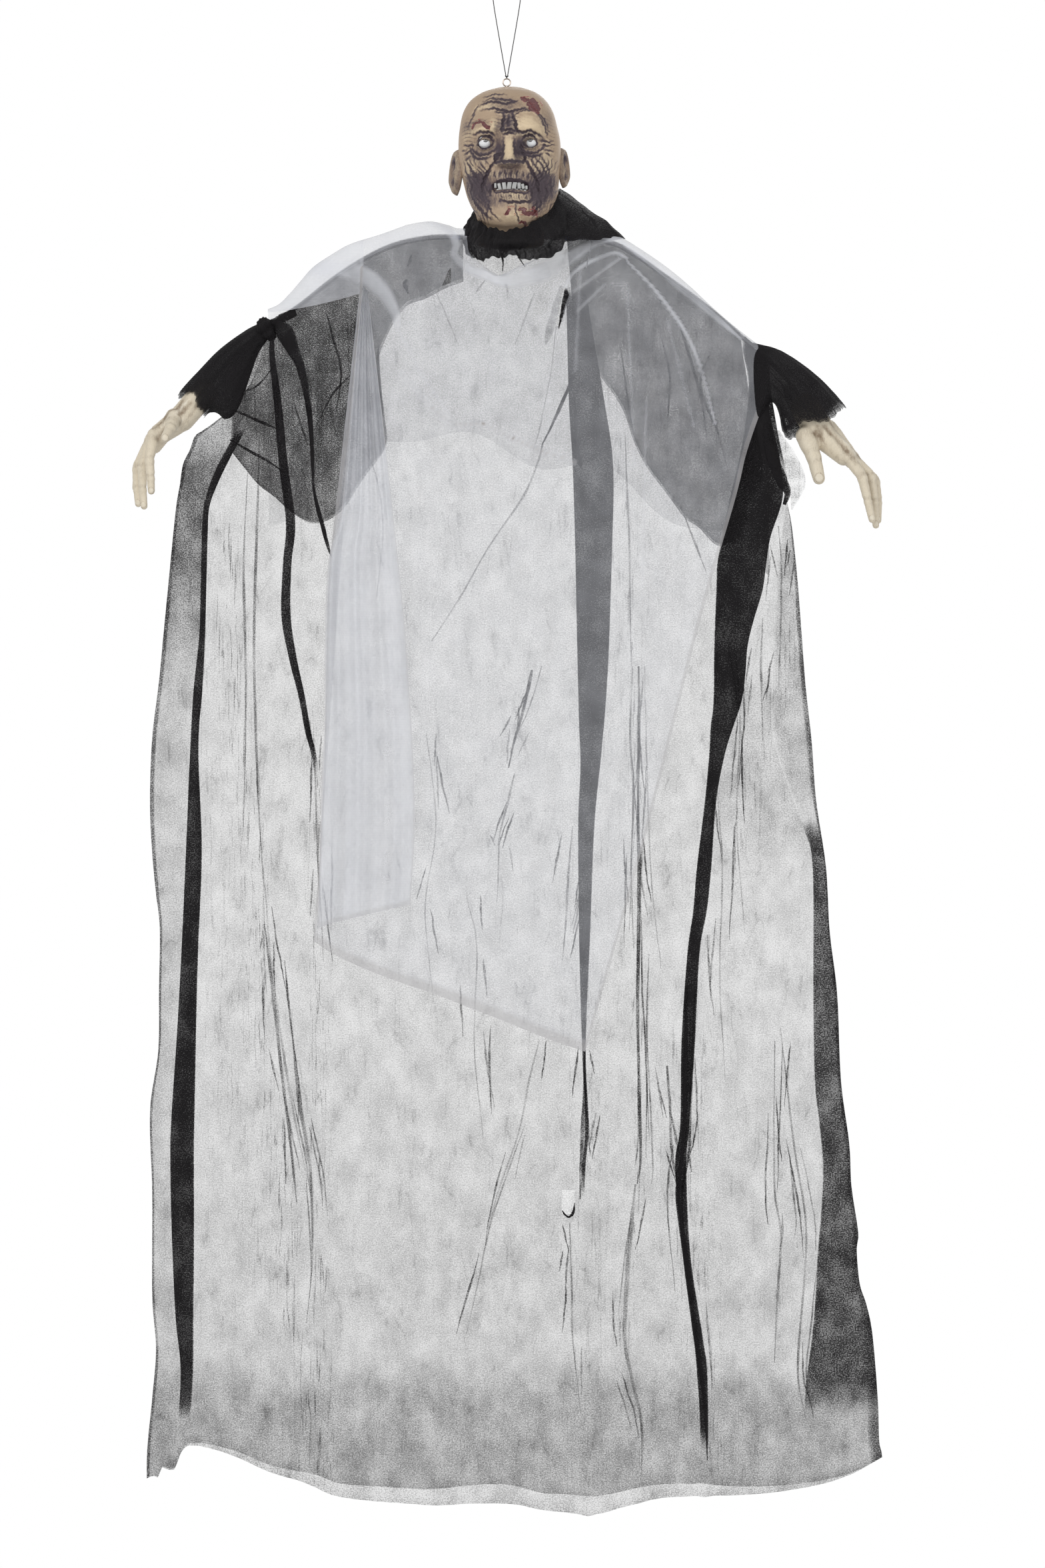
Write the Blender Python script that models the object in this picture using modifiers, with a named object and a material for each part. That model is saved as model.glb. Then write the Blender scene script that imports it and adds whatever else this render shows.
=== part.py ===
"""Hanging undead figure: moulded head and hands on one arm wire, with a long
black robe, bell sleeves, cuffs, a collar and a pale sheer shawl.

Metres, +Z up, the front looks along -Y. The origin is the inner top of the
cord loop, the point that rests on a hook.
"""
import bpy
import bmesh
import math
import numpy as np
from mathutils import Matrix, Vector

for old in list(bpy.data.objects):
    bpy.data.objects.remove(old, do_unlink=True)

# Driving dimensions
GAP = 0.0003
CLOTH = 0.0012
WIRE_RADIUS = 0.0025
CORD_RADIUS = 0.0006
NECK_X = 0.004
NECK_REACH = 0.075
NECK_CLEAR = 0.055
CROWN_Z = -0.140
EYE_RADIUS = 0.0050
EYE_WIRE = 0.0009
ROBE_DEPTH = 0.105
DEPTH_LENGTH = 0.60
WAVE_HEIGHT = 0.018
FRONT_SEED = 3
BACK_SEED = 8
ARC_STEPS = 3
SLEEVE_LAYER = WIRE_RADIUS + GAP + CLOTH / 2
ROBE_LAYER = SLEEVE_LAYER + CLOTH + GAP
VEIL_LAYER = ROBE_LAYER + CLOTH + 2 * GAP
TAIL_LAYER = VEIL_LAYER + CLOTH + GAP

parts = bpy.data.collections.new("hanging_undead_figure")
bpy.context.scene.collection.children.link(parts)
cutters = bpy.data.collections.new("cutters")
bpy.context.scene.collection.children.link(cutters)


def material(name, color, roughness, metallic=0.0):
    mat = bpy.data.materials.new(name)
    mat.use_nodes = True
    shader = mat.node_tree.nodes["Principled BSDF"]
    shader.inputs["Base Color"].default_value = (*color, 1.0)
    shader.inputs["Roughness"].default_value = roughness
    shader.inputs["Metallic"].default_value = metallic
    return mat


SKIN = material("painted_skin", (0.50, 0.38, 0.27), 0.6)
HAND_SKIN = material("pale_hand_skin", (0.80, 0.73, 0.60), 0.55)
BLACK = material("black_cloth", (0.015, 0.015, 0.017), 0.9)
SHEER = material("pale_voile", (0.62, 0.60, 0.60), 0.8)
STEEL = material("eye_steel", (0.45, 0.42, 0.40), 0.35, 1.0)
CORD = material("black_cord", (0.01, 0.01, 0.01), 0.7)
TAPE = material("blue_tape", (0.08, 0.14, 0.42), 0.5)
COVERED_WIRE = material("covered_wire", (0.10, 0.10, 0.10), 0.6)


def add_object(name, mesh, mat, collection=parts):
    obj = bpy.data.objects.new(name, mesh)
    collection.objects.link(obj)
    mesh.materials.clear()
    mesh.materials.append(mat)
    return obj


def smooth_line(points, steps=8):
    """A smooth curve through the points, as a dense list."""
    pts = [Vector(p) for p in points]
    pts = [2 * pts[0] - pts[1]] + pts + [2 * pts[-1] - pts[-2]]
    out = []
    for a, b, c, d in zip(pts, pts[1:], pts[2:], pts[3:]):
        for k in range(steps):
            t = k / steps
            out.append(0.5 * (2 * b + (c - a) * t + (2 * a - 5 * b + 4 * c - d) * t * t
                              + (3 * b - a - 3 * c + d) * t ** 3))
    out.append(pts[-2])
    return out


def line_height(points):
    """z as a function of x along a line drawn from left to right."""
    dense = smooth_line([(x, 0, z) for x, z in points])
    xs = [p.x for p in dense]
    zs = [p.z for p in dense]
    return lambda x: float(np.interp(x, xs, zs))


def line_side(points):
    """x as a function of z along a line drawn from top to bottom."""
    dense = smooth_line([(x, 0, z) for x, z in points])
    xs = [p.x for p in reversed(dense)]
    zs = [p.z for p in reversed(dense)]
    return lambda z: float(np.interp(z, zs, xs))


def bump(t):
    """A smooth hill from 0 at t = -1 over 1 at 0 to 0 at 1."""
    return math.cos(math.pi * t / 2) ** 2 if abs(t) < 1 else 0.0


def ease(t):
    t = min(max(t, 0.0), 1.0)
    return t * t * (3 - 2 * t)


# The wire's line from wrist to wrist, and the lower hem of the robe
wire_height = line_height([
    (-0.428, -0.575), (-0.415, -0.559), (-0.390, -0.529), (-0.359, -0.495), (-0.315, -0.458), (-0.275, -0.431), (-0.221, -0.389),
    (-0.160, -0.355), (-0.106, -0.342), (-0.062, -0.341), (-0.040, -0.341), (0.004, -0.341), (0.049, -0.341), (0.080, -0.341),
    (0.115, -0.343), (0.156, -0.355), (0.213, -0.394), (0.266, -0.433), (0.316, -0.476), (0.350, -0.506),
    (0.382, -0.540), (0.401, -0.568), (0.417, -0.600)])
hem_height = line_height([
    (-0.477, -1.990), (-0.461, -1.979), (-0.426, -1.949), (-0.356, -1.961), (-0.258, -1.993), (-0.106, -2.016),
    (0.006, -2.014), (0.108, -2.029), (0.199, -2.010), (0.354, -2.007), (0.468, -1.982), (0.500, -1.965)])

# Fold lines of the robe, each from the arm down to the hem, with its height
GUIDES = [
    ([(-0.300, -0.481), (-0.319, -0.505), (-0.345, -0.536), (-0.371, -0.566), (-0.396, -0.586), (-0.417, -0.605), (-0.434, -0.646),
      (-0.446, -0.751), (-0.457, -0.868), (-0.471, -0.995), (-0.475, -1.101), (-0.463, -1.312), (-0.475, -1.504),
      (-0.470, -1.800), (-0.478, -2.030)], 0.0),
    ([(-0.293, -0.473), (-0.319, -0.548), (-0.368, -0.602), (-0.402, -0.646), (-0.402, -0.784), (-0.412, -0.990),
      (-0.417, -1.178), (-0.430, -1.504), (-0.430, -1.722), (-0.435, -2.030)], 0.014),
    ([(-0.286, -0.469), (-0.302, -0.548), (-0.346, -0.611), (-0.382, -0.717), (-0.359, -0.982), (-0.338, -1.082),
      (-0.331, -1.267), (-0.312, -1.504), (-0.290, -1.776), (-0.266, -2.030)], 0.007),
    ([(-0.279, -0.464), (-0.288, -0.550), (-0.291, -0.642), (-0.287, -0.721), (-0.283, -0.900), (-0.264, -0.998),
      (-0.249, -1.134), (-0.257, -1.356), (-0.248, -2.030)], 0.010),
    ([(0.080, -0.366), (0.087, -0.557), (0.106, -0.699), (0.118, -0.844), (0.111, -1.022), (0.104, -1.267),
      (0.102, -1.419), (0.100, -1.597), (0.108, -2.039)], 0.016),
    ([(0.124, -0.380), (0.142, -0.522), (0.159, -0.705), (0.167, -0.844), (0.173, -1.267), (0.170, -1.533),
      (0.160, -1.745), (0.177, -2.030)], 0.008),
    ([(0.297, -0.486), (0.328, -0.575), (0.338, -0.630), (0.313, -0.776), (0.295, -0.920), (0.274, -1.065),
      (0.246, -1.292), (0.235, -1.518), (0.253, -1.801), (0.262, -2.030)], 0.018),
    ([(0.311, -0.504), (0.346, -0.602), (0.366, -0.735), (0.362, -0.912), (0.373, -1.267), (0.404, -1.622),
      (0.417, -2.030)], 0.008),
    ([(0.324, -0.515), (0.340, -0.548), (0.352, -0.579), (0.361, -0.606), (0.371, -0.642), (0.376, -0.677), (0.380, -0.725),
      (0.392, -0.859), (0.406, -1.011), (0.425, -1.178), (0.442, -1.391), (0.459, -1.603), (0.468, -1.711),
      (0.487, -1.817), (0.500, -1.977)], 0.0),
]
GUIDE_LINES = [line_side(points) for points, height in GUIDES]
LAST = len(GUIDES) - 1

# Columns: whole numbers are the fold lines, the rest lies between them
COLUMNS = [0, 0.35, 0.8, 1, 1.2, 2, 2.6, 3, 3.04, 3.09, 3.16, 3.24, 3.32, 3.40, 3.48, 3.55, 3.60,
           3.635, 3.67, 3.705, 3.74, 3.775, 3.81, 3.845, 3.88, 3.915, 3.96, 4, 4.5, 4.85, 5,
           5.15, 5.35, 5.55, 5.75, 5.9, 6, 6.3, 6.8, 7, 7.3, 7.7, 8]


def column_x(c, z):
    k = min(int(c), LAST - 1)
    t = c - k
    return (1 - t) * GUIDE_LINES[k](z) + t * GUIDE_LINES[k + 1](z)


def top_x(c):
    k = min(int(c), LAST - 1)
    t = c - k
    return (1 - t) * GUIDES[k][0][0][0] + t * GUIDES[k + 1][0][0][0]


STATIONS = [top_x(c) for c in COLUMNS]


def neck_share(x):
    return bump((x - NECK_X) / NECK_REACH)


def neck_push(x):
    """How far a top edge moves off the arm plane to pass the neck."""
    return NECK_CLEAR * neck_share(x) ** 0.6


FRONT_DIP = 0.020
SEAM_HALF = CLOTH / 2 + GAP / 2 + 0.0001
BACK_DIP = 0.006


def depth(x, z):
    """Half depth of the robe at a point, nothing at its side seams."""
    left = GUIDE_LINES[0](z)
    right = GUIDE_LINES[LAST](z)
    t = min(max((x - left) / (right - left), 0.0), 1.0)
    drop = max(wire_height(x) - z, 0.0)
    return ROBE_DEPTH * (1 - math.exp(-drop / DEPTH_LENGTH)) * math.sin(math.pi * t) ** 1.4


def waves(x, z, drop, seed):
    """Low wide waves of the hanging cloth, that grow towards the hem."""
    rng = np.random.default_rng(seed)
    total = 0.0
    for _ in range(7):
        length = rng.uniform(0.07, 0.22)
        lean = rng.uniform(-0.12, 0.12)
        total += math.sin((x + lean * z) * 2 * math.pi / length + rng.uniform(0, 6.28)) * length
    return WAVE_HEIGHT * total * ease(drop / 0.5) * ease(depth(x, z) / 0.05)


def fold_centre(x, side, at_neck):
    """Middle of a fold over the wire, moved round the neck's front or back."""
    dip = (FRONT_DIP if side < 0 else BACK_DIP) * neck_share(x) * at_neck
    return neck_push(x) * at_neck, wire_height(x) - dip


def arc_point(x, layer, step, side, at_neck=1.0):
    """A point of a layer's fold over the wire, side -1 in front."""
    angle = math.pi / 2 * step / ARC_STEPS
    y, z = fold_centre(x, side, at_neck)
    y0, z0 = fold_centre(x - 0.008, side, at_neck)
    y1, z1 = fold_centre(x + 0.008, side, at_neck)
    square_y = math.sqrt(1 + ((y1 - y0) / 0.016) ** 2)
    square_z = math.sqrt(1 + ((z1 - z0) / 0.016) ** 2)
    return Vector((x, side * (y + layer * math.sin(angle) * square_y),
                   z + layer * math.cos(angle) * square_z))


def sheet(name, columns, rows, place, mat, thickness=CLOTH, keep=None):
    """A cloth piece: a grid set point by point by a function, then Solidify."""
    bm = bmesh.new()
    bmesh.ops.create_grid(bm, x_segments=columns - 1, y_segments=rows - 1, size=0.5)
    for v in bm.verts:
        i = round((v.co.x + 0.5) * (columns - 1))
        j = round((0.5 - v.co.y) * (rows - 1))
        v.index = i * rows + j
        v.co = place(i, j)
    if keep:
        spare = [f for f in bm.faces
                 if not keep(min(v.index // rows for v in f.verts),
                             min(v.index % rows for v in f.verts))]
        bmesh.ops.delete(bm, geom=spare, context='FACES')
    mesh = bpy.data.meshes.new(name)
    bm.to_mesh(mesh)
    bm.free()
    obj = add_object(name, mesh, mat)
    solid = obj.modifiers.new("thickness", 'SOLIDIFY')
    solid.thickness = thickness
    solid.offset = 0.0
    for poly in mesh.polygons:
        poly.use_smooth = True
    return obj


# Robe panels. Each hangs from the arm wire and meets the other at the sides.
def robe_panel(name, side, row_count, fold_share, seed):
    rows = ARC_STEPS + 1 + row_count

    def place(i, j):
        c = COLUMNS[i]
        x0 = STATIONS[i]
        seam = ease(min(c / 0.8, (LAST - c) / 0.7, 1.0))
        if j <= ARC_STEPS:
            p = arc_point(x0, ROBE_LAYER, j, side)
            return Vector((p.x, side * max(abs(p.y), SEAM_HALF), p.z))
        start = arc_point(x0, ROBE_LAYER, ARC_STEPS, side)
        w = ((j - ARC_STEPS) / row_count) ** 1.25
        end_z = hem_height(column_x(c, start.z - 1.7))
        z = start.z + (end_z - start.z) * w
        drop = start.z - z
        near_top = math.exp(-drop / 0.05)
        x = x0 * near_top + column_x(c, z) * (1 - near_top)
        whole = abs(c - round(c)) < 0.001
        fold = GUIDES[round(c)][1] * fold_share * ease(drop / 0.15) if whole else 0.0
        share = seam + (1 - seam) * math.exp(-drop / 0.012)
        y = SEAM_HALF + (ROBE_LAYER - SEAM_HALF) * share
        y += (abs(start.y) - ROBE_LAYER) * math.exp(-drop / 0.25)
        y += (depth(x, z) + fold + waves(x, z, drop, seed)) * seam
        return Vector((x, side * y, z))

    return sheet(name, len(COLUMNS), rows, place, BLACK)


robe_panel("robe_front", -1, 22, 1.0, FRONT_SEED)
robe_panel("robe_back", 1, 20, 0.5, BACK_SEED)


# Bell sleeves. Folded over the wire inside the robe, with an arched lower edge.
def bell_sleeve(name, first, last, lower_points):
    columns = last - first + 1
    rows_down = 4
    half = ARC_STEPS + rows_down
    lower = smooth_line([(x, 0, z) for x, z in lower_points], 6)

    def place(i, j):
        x0 = STATIONS[first + i]
        side = -1 if j > half else 1
        step = abs(j - half)
        if step <= ARC_STEPS:
            return arc_point(x0, SLEEVE_LAYER, step, side, 0.0)
        end = lower[round(i / (columns - 1) * (len(lower) - 1))]
        w = (step - ARC_STEPS) / rows_down
        z0 = wire_height(x0)
        z = z0 + (end.z - z0) * w
        x = x0 + (end.x - x0) * w
        near = SLEEVE_LAYER * (1 - 0.5 * ease(w * 3))
        return Vector((x, side * (near + 0.35 * depth(x, z) * ease(w * 2)), z))

    return sheet(name, columns, 2 * half + 1, place, BLACK)


def nearest_station(x):
    return min(range(len(STATIONS)), key=lambda i: abs(STATIONS[i] - x))


bell_sleeve("left_sleeve", nearest_station(-0.279), nearest_station(-0.075), [
    (-0.344, -0.628), (-0.310, -0.685), (-0.257, -0.720), (-0.223, -0.705), (-0.169, -0.617), (-0.169, -0.557), (-0.169, -0.495),
    (-0.143, -0.440), (-0.109, -0.420), (-0.075, -0.405)])
bell_sleeve("right_sleeve", nearest_station(0.096), nearest_station(0.297), [
    (0.096, -0.469), (0.124, -0.522), (0.154, -0.566), (0.188, -0.646), (0.238, -0.713), (0.275, -0.735),
    (0.311, -0.717), (0.328, -0.646)])

# Veil. One sheer sheet over the shoulders, parted round the neck.
VEIL_FIRST = nearest_station(-0.266)
VEIL_LONG = nearest_station(-0.191)
VEIL_LAST = nearest_station(0.288)
BACK_ROWS = 3
FRONT_ROWS = 11
BACK_DROP = 0.30
VEIL_NECK_CLEAR = 0.004
veil_left = line_side([(-0.197, -0.415), (-0.217, -0.698), (-0.233, -0.806), (-0.241, -1.042), (-0.256, -1.285)])
veil_right = line_side([(0.291, -0.451), (0.319, -0.557), (0.307, -0.664), (0.257, -0.850), (0.177, -1.161),
                        (0.100, -1.427)])
veil_hem = line_height([(-0.266, -1.271), (-0.225, -1.296), (-0.171, -1.320), (-0.106, -1.344), (-0.021, -1.376),
                        (0.046, -1.402), (0.115, -1.425)])


def veil_clear(x):
    """Extra room between veil and robe beside the neck."""
    return VEIL_NECK_CLEAR * ease((NECK_REACH + 0.02 - abs(x - NECK_X)) / 0.02)


def veil_place(i, j):
    k = VEIL_FIRST + i
    x0 = STATIONS[k]
    top = BACK_ROWS + ARC_STEPS
    side = -1 if j > top else 1
    step = abs(j - top)
    if step <= ARC_STEPS:
        if step == 0:
            return arc_point(x0, VEIL_LAYER, 0, 1, 0.0)
        p = arc_point(x0, VEIL_LAYER, step, side)
        p.y += side * veil_clear(x0)
        return p
    start = arc_point(x0, VEIL_LAYER, ARC_STEPS, side)
    start.y += side * veil_clear(x0)
    clear = 0.0
    if side > 0:
        w = (step - ARC_STEPS) / BACK_ROWS
        z = start.z - BACK_DROP * w
        x = x0
        clear = 0.012 * ease(w * 3)
    else:
        w = (step - ARC_STEPS) / FRONT_ROWS
        z = start.z - 0.018 * (step - ARC_STEPS)
        x = x0
        if k >= VEIL_LONG and step > ARC_STEPS + 2:
            t = (k - VEIL_LONG) / (VEIL_LAST - VEIL_LONG)
            end_x = veil_left(-1.285) * (1 - t) + veil_right(-1.427) * t
            low = start.z - 0.036
            z = low + (veil_hem(end_x) - low) * (step - ARC_STEPS - 2) / (FRONT_ROWS - 2)
            share = ease((low - z) / 0.10)
            x = x0 * (1 - share) + (veil_left(z) * (1 - t) + veil_right(z) * t) * share
        clear = 0.022 * ease((start.z - z) / 0.15)
    y = VEIL_LAYER + (abs(start.y) - VEIL_LAYER) * math.exp(-(start.z - z) / 0.25)
    y += waves(x, z, start.z - z, FRONT_SEED if side < 0 else BACK_SEED)
    return Vector((x, side * (y + depth(x, z) + clear), z))


def veil_keep(i, j):
    k = VEIL_FIRST + i
    top = BACK_ROWS + ARC_STEPS
    near_neck = abs((STATIONS[k] + STATIONS[k + 1]) / 2 - NECK_X) < NECK_REACH + 0.006
    if near_neck and top - ARC_STEPS <= j < top + ARC_STEPS:
        return False
    return k >= VEIL_LONG or j < top + ARC_STEPS + 2


sheet("veil", VEIL_LAST - VEIL_FIRST + 1, BACK_ROWS + 2 * ARC_STEPS + FRONT_ROWS + 1, veil_place,
      SHEER, CLOTH, veil_keep)

# The veil's doubled tail, folded over the left shoulder on top of the veil.
TAIL_FIRST = nearest_station(-0.220)
TAIL_LAST = nearest_station(-0.151)
TAIL_ROWS = 12
tail_left = line_side([(-0.213, -0.415), (-0.217, -0.698), (-0.233, -0.761), (-0.240, -0.900), (-0.243, -1.042),
                       (-0.249, -1.267)])
tail_right = line_side([(-0.164, -0.406), (-0.160, -0.617), (-0.148, -0.725), (-0.137, -0.824), (-0.129, -0.923),
                        (-0.122, -1.042), (-0.129, -1.267)])


def tail_place(i, j):
    x0 = STATIONS[TAIL_FIRST + i]
    top = ARC_STEPS
    if j <= 2 * top:
        side = -1 if j > top else 1
        return arc_point(x0, TAIL_LAYER, abs(j - top), side, 0.0)
    t = i / (TAIL_LAST - TAIL_FIRST)
    z0 = wire_height(x0)
    end_z = -1.257 * (1 - t) + -1.226 * t
    z = z0 + (end_z - z0) * ((j - 2 * top) / TAIL_ROWS)
    share = ease((z0 - z) / 0.1)
    x = x0 * (1 - share) + (tail_left(z) * (1 - t) + tail_right(z) * t) * share
    clear = 0.034 * ease((z0 - z) / 0.12)
    y = TAIL_LAYER + depth(x, z) + clear + waves(x, z, z0 - z, FRONT_SEED)
    return Vector((x, -y, z))


sheet("veil_tail", TAIL_LAST - TAIL_FIRST + 1, 2 * ARC_STEPS + TAIL_ROWS + 1, tail_place, SHEER)

# Collar. A doubled cloth ring that stands on the robe's neckline.
COLLAR_THICKNESS = 0.0022
COLLAR_LIFT = 0.0009
COLLAR_ROWS = 5
collar_stations = [i for i, x in enumerate(STATIONS) if abs(x - NECK_X) < NECK_REACH * 0.93]
FRONT_COUNT = len(collar_stations)
# The rim's height by direction: front, left, back, right
RIM_FRONT = -0.335
RIM_LEFT = -0.311
RIM_BACK = -0.288
RIM_RIGHT = -0.284


def collar_place(i, j):
    count = 2 * FRONT_COUNT
    i = i % count
    side = -1 if i < FRONT_COUNT else 1
    k = collar_stations[i] if i < FRONT_COUNT else collar_stations[count - 1 - i]
    x = STATIONS[k]
    base = arc_point(x, ROBE_LAYER + CLOTH / 2 + GAP, 0, side)
    y = side * max(abs(base.y), 0.004)
    angle = math.atan2(x - NECK_X, -y)
    right = max(math.sin(angle), 0)
    left = max(-math.sin(angle), 0)
    front = max(math.cos(angle), 0)
    back = max(-math.cos(angle), 0)
    total = right + left + front + back
    rim = (RIM_RIGHT * right + RIM_LEFT * left + RIM_FRONT * front + RIM_BACK * back) / total
    w = j / COLLAR_ROWS
    z = base.z + (rim - base.z) * w
    out = 1.0 + 0.10 * math.sin(math.pi * w) + 0.16 * w * right
    wide = (x - NECK_X) * out
    deep = y * out * (1 + 0.25 * ease(w * 2)) + side * 0.014 * ease(w * 2)
    return Vector((NECK_X + wide, deep, z + COLLAR_LIFT))


def ring_sheet(name, count, rows, place, mat, thickness):
    """A cloth ring: a grid whose ends are merged, then Solidify."""
    obj = sheet(name, count + 1, rows, place, mat, thickness)
    bm = bmesh.new()
    bm.from_mesh(obj.data)
    bmesh.ops.remove_doubles(bm, verts=bm.verts[:], dist=0.00001)
    bm.to_mesh(obj.data)
    bm.free()
    return obj


ring_sheet("collar", 2 * FRONT_COUNT, COLLAR_ROWS + 1, collar_place, BLACK, COLLAR_THICKNESS)


# Cuffs. Gathered on the wire at the inner end and wide at the wrist.
def frames(points):
    dense = [Vector(p) for p in points]
    out = []
    for k, p in enumerate(dense):
        ahead = dense[min(k + 1, len(dense) - 1)] - dense[max(k - 1, 0)]
        ahead.normalize()
        out.append((p, ahead, ahead.cross(Vector((0, 1, 0))).normalized()))
    return out


def cuff(name, line, radii, pleats):
    path = frames([(x, 0, wire_height(x)) for x in line])
    count = 16

    def place(i, j):
        p, ahead, up = path[j]
        angle = 2 * math.pi * (i % count) / count
        wide, tall = radii[j]
        ripple = 1 + 0.06 * math.cos(pleats * angle) * ease((j - 1) / 3)
        return p + ripple * (Vector((0, 1, 0)) * wide * math.cos(angle)
                             + up * tall * math.sin(angle))

    return ring_sheet(name, count, len(line), place, BLACK, 0.0016)


GATHER = WIRE_RADIUS + GAP + 0.0009
cuff("left_cuff", [-0.318, -0.327, -0.337, -0.351, -0.373, -0.394, -0.414],
     [(GATHER, GATHER), (GATHER, GATHER), (0.008, 0.008), (0.017, 0.018), (0.021, 0.022),
      (0.022, 0.023), (0.023, 0.024)], 5)
cuff("right_cuff", [0.330, 0.338, 0.348, 0.366, 0.385, 0.399, 0.410],
     [(GATHER, GATHER), (GATHER, GATHER), (0.012, 0.012), (0.021, 0.026), (0.026, 0.034),
      (0.030, 0.040), (0.034, 0.044)], 4)

# The tie that gathers the left cuff into a knot.
tie_x = (-0.318 + -0.327) / 2
tie_slope = math.atan2(wire_height(-0.318) - wire_height(-0.327), -0.318 - -0.327)
bm = bmesh.new()
bmesh.ops.create_grid(bm, x_segments=16, y_segments=8, size=0.5)
for v in bm.verts:
    turn = 2 * math.pi * (v.co.x + 0.5)
    round_it = 2 * math.pi * (v.co.y + 0.5)
    ring = GATHER + 0.0008 + 2 * GAP + 0.0030 + 0.0030 * math.cos(round_it)
    v.co = Vector((0.0040 * math.sin(round_it), ring * math.cos(turn), ring * math.sin(turn)))
bmesh.ops.remove_doubles(bm, verts=bm.verts[:], dist=0.00001)
bmesh.ops.recalc_face_normals(bm, faces=bm.faces[:])
mesh = bpy.data.meshes.new("cuff_tie")
bm.to_mesh(mesh)
bm.free()
tie = add_object("cuff_tie", mesh, BLACK)
tie.location = (tie_x, 0, wire_height(tie_x))
tie.rotation_euler = (0, -tie_slope, 0)


# Arm wire, as a tube through the stations of the cloth
def tube(name, points, radius, mat, resolution=2):
    curve = bpy.data.curves.new(name, 'CURVE')
    curve.dimensions = '3D'
    curve.bevel_depth = radius
    curve.bevel_resolution = resolution
    curve.use_fill_caps = True
    spline = curve.splines.new('POLY')
    spline.points.add(len(points) - 1)
    for point, co in zip(spline.points, points):
        point.co = (*co, 1.0)
    obj = bpy.data.objects.new(name, curve)
    parts.objects.link(obj)
    curve.materials.append(mat)
    return obj


WRIST_LEFT = -0.424
WRIST_RIGHT = 0.415
wire_xs = sorted([WRIST_LEFT, -0.394, -0.373, -0.351, -0.337, -0.327, -0.318]
                 + STATIONS
                 + [0.330, 0.338, 0.348, 0.366, 0.385, WRIST_RIGHT])
tube("arm_wire", [(x, 0, wire_height(x)) for x in wire_xs], WIRE_RADIUS, COVERED_WIRE)

# Tape turns on the wire, one on each side of the neck, outside of the sleeves
for name, x_mid in (("left_tape", -0.067), ("right_tape", 0.083)):
    mid = Vector((x_mid, 0, wire_height(x_mid)))
    slope = math.atan2(wire_height(x_mid + 0.005) - wire_height(x_mid - 0.005), 0.010)
    bm = bmesh.new()
    bmesh.ops.create_cone(bm, cap_ends=False, segments=12, radius1=WIRE_RADIUS + GAP + 0.0004,
                          radius2=WIRE_RADIUS + GAP + 0.0004, depth=0.010)
    mesh = bpy.data.meshes.new(name)
    bm.to_mesh(mesh)
    bm.free()
    tape = add_object(name, mesh, TAPE)
    tape.location = mid
    tape.rotation_euler = (0, math.pi / 2 - slope, 0)
    wall = tape.modifiers.new("wall", 'SOLIDIFY')
    wall.thickness = 0.0005
    wall.offset = 0.0

# Head. Rings from the crown to the end of the neck, tipped forward at the jaw.
# Each ring: front and back depth below the crown, left and right half width,
# front reach and back reach.
HEAD_X = 0.004
HEAD_RINGS = [
    (0.003, 0.003, 0.021, 0.021, 0.020, 0.034), (0.009, 0.009, 0.038, 0.036, 0.040, 0.054),
    (0.020, 0.020, 0.053, 0.049, 0.057, 0.070), (0.036, 0.034, 0.062, 0.058, 0.069, 0.080),
    (0.055, 0.050, 0.066, 0.063, 0.075, 0.085), (0.075, 0.066, 0.068, 0.067, 0.076, 0.086),
    (0.095, 0.082, 0.068, 0.068, 0.071, 0.084), (0.115, 0.096, 0.066, 0.067, 0.072, 0.079),
    (0.135, 0.108, 0.063, 0.066, 0.073, 0.071), (0.152, 0.116, 0.060, 0.065, 0.074, 0.062),
    (0.168, 0.121, 0.057, 0.064, 0.074, 0.055), (0.181, 0.126, 0.053, 0.061, 0.071, 0.051),
    (0.190, 0.134, 0.048, 0.056, 0.062, 0.049), (0.193, 0.146, 0.045, 0.050, 0.050, 0.048),
    (0.197, 0.165, 0.045, 0.047, 0.044, 0.047), (0.212, 0.200, 0.046, 0.046, 0.044, 0.047),
    (0.232, 0.232, 0.046, 0.046, 0.045, 0.046)]
HEAD_ROWS = 26
HEAD_SIDES = 32


def head_ring(s):
    """Ring values at a share of the way from crown to neck end."""
    table = np.array(HEAD_RINGS)
    at = s * (len(table) - 1)
    return [float(np.interp(at, range(len(table)), table[:, k])) for k in range(6)]


def hill(dx, dz, wide, tall):
    return math.exp(-(dx / wide) ** 2 - (dz / tall) ** 2)


def face_relief(x, d):
    """Height of the face's forms, by x from the middle and depth below the crown."""
    eye_x = 0.0295
    height = 0.0
    for eye in (-eye_x, eye_x):
        height -= 0.0095 * hill(x - eye, d - 0.081, 0.017, 0.012)
        height += 0.0060 * hill(x - eye, d - 0.080, 0.009, 0.007)
        height += 0.0055 * hill(x - eye, d - 0.063, 0.021, 0.007)
        height += 0.0040 * hill(x - eye * 1.35, d - 0.108, 0.014, 0.013)
        height -= 0.0040 * hill(x - eye * 1.15, d - 0.135, 0.012, 0.014)
    nose = ease((d - 0.070) / 0.038) * (1 - ease((d - 0.110) / 0.009))
    height += 0.022 * nose * math.exp(-(x / (0.009 + 0.05 * max(d - 0.09, 0))) ** 2)
    for wing in (-0.0125, 0.0125):
        height += 0.0070 * hill(x - wing, d - 0.108, 0.006, 0.006)
    height += 0.0045 * hill(x, d - 0.128, 0.016, 0.008)
    height -= 0.0060 * hill(x - 0.001, d - 0.139, 0.019, 0.0045)
    height += 0.0045 * hill(x, d - 0.152, 0.018, 0.006)
    height += 0.0060 * hill(x - 0.002, d - 0.174, 0.017, 0.011)
    return height


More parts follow.
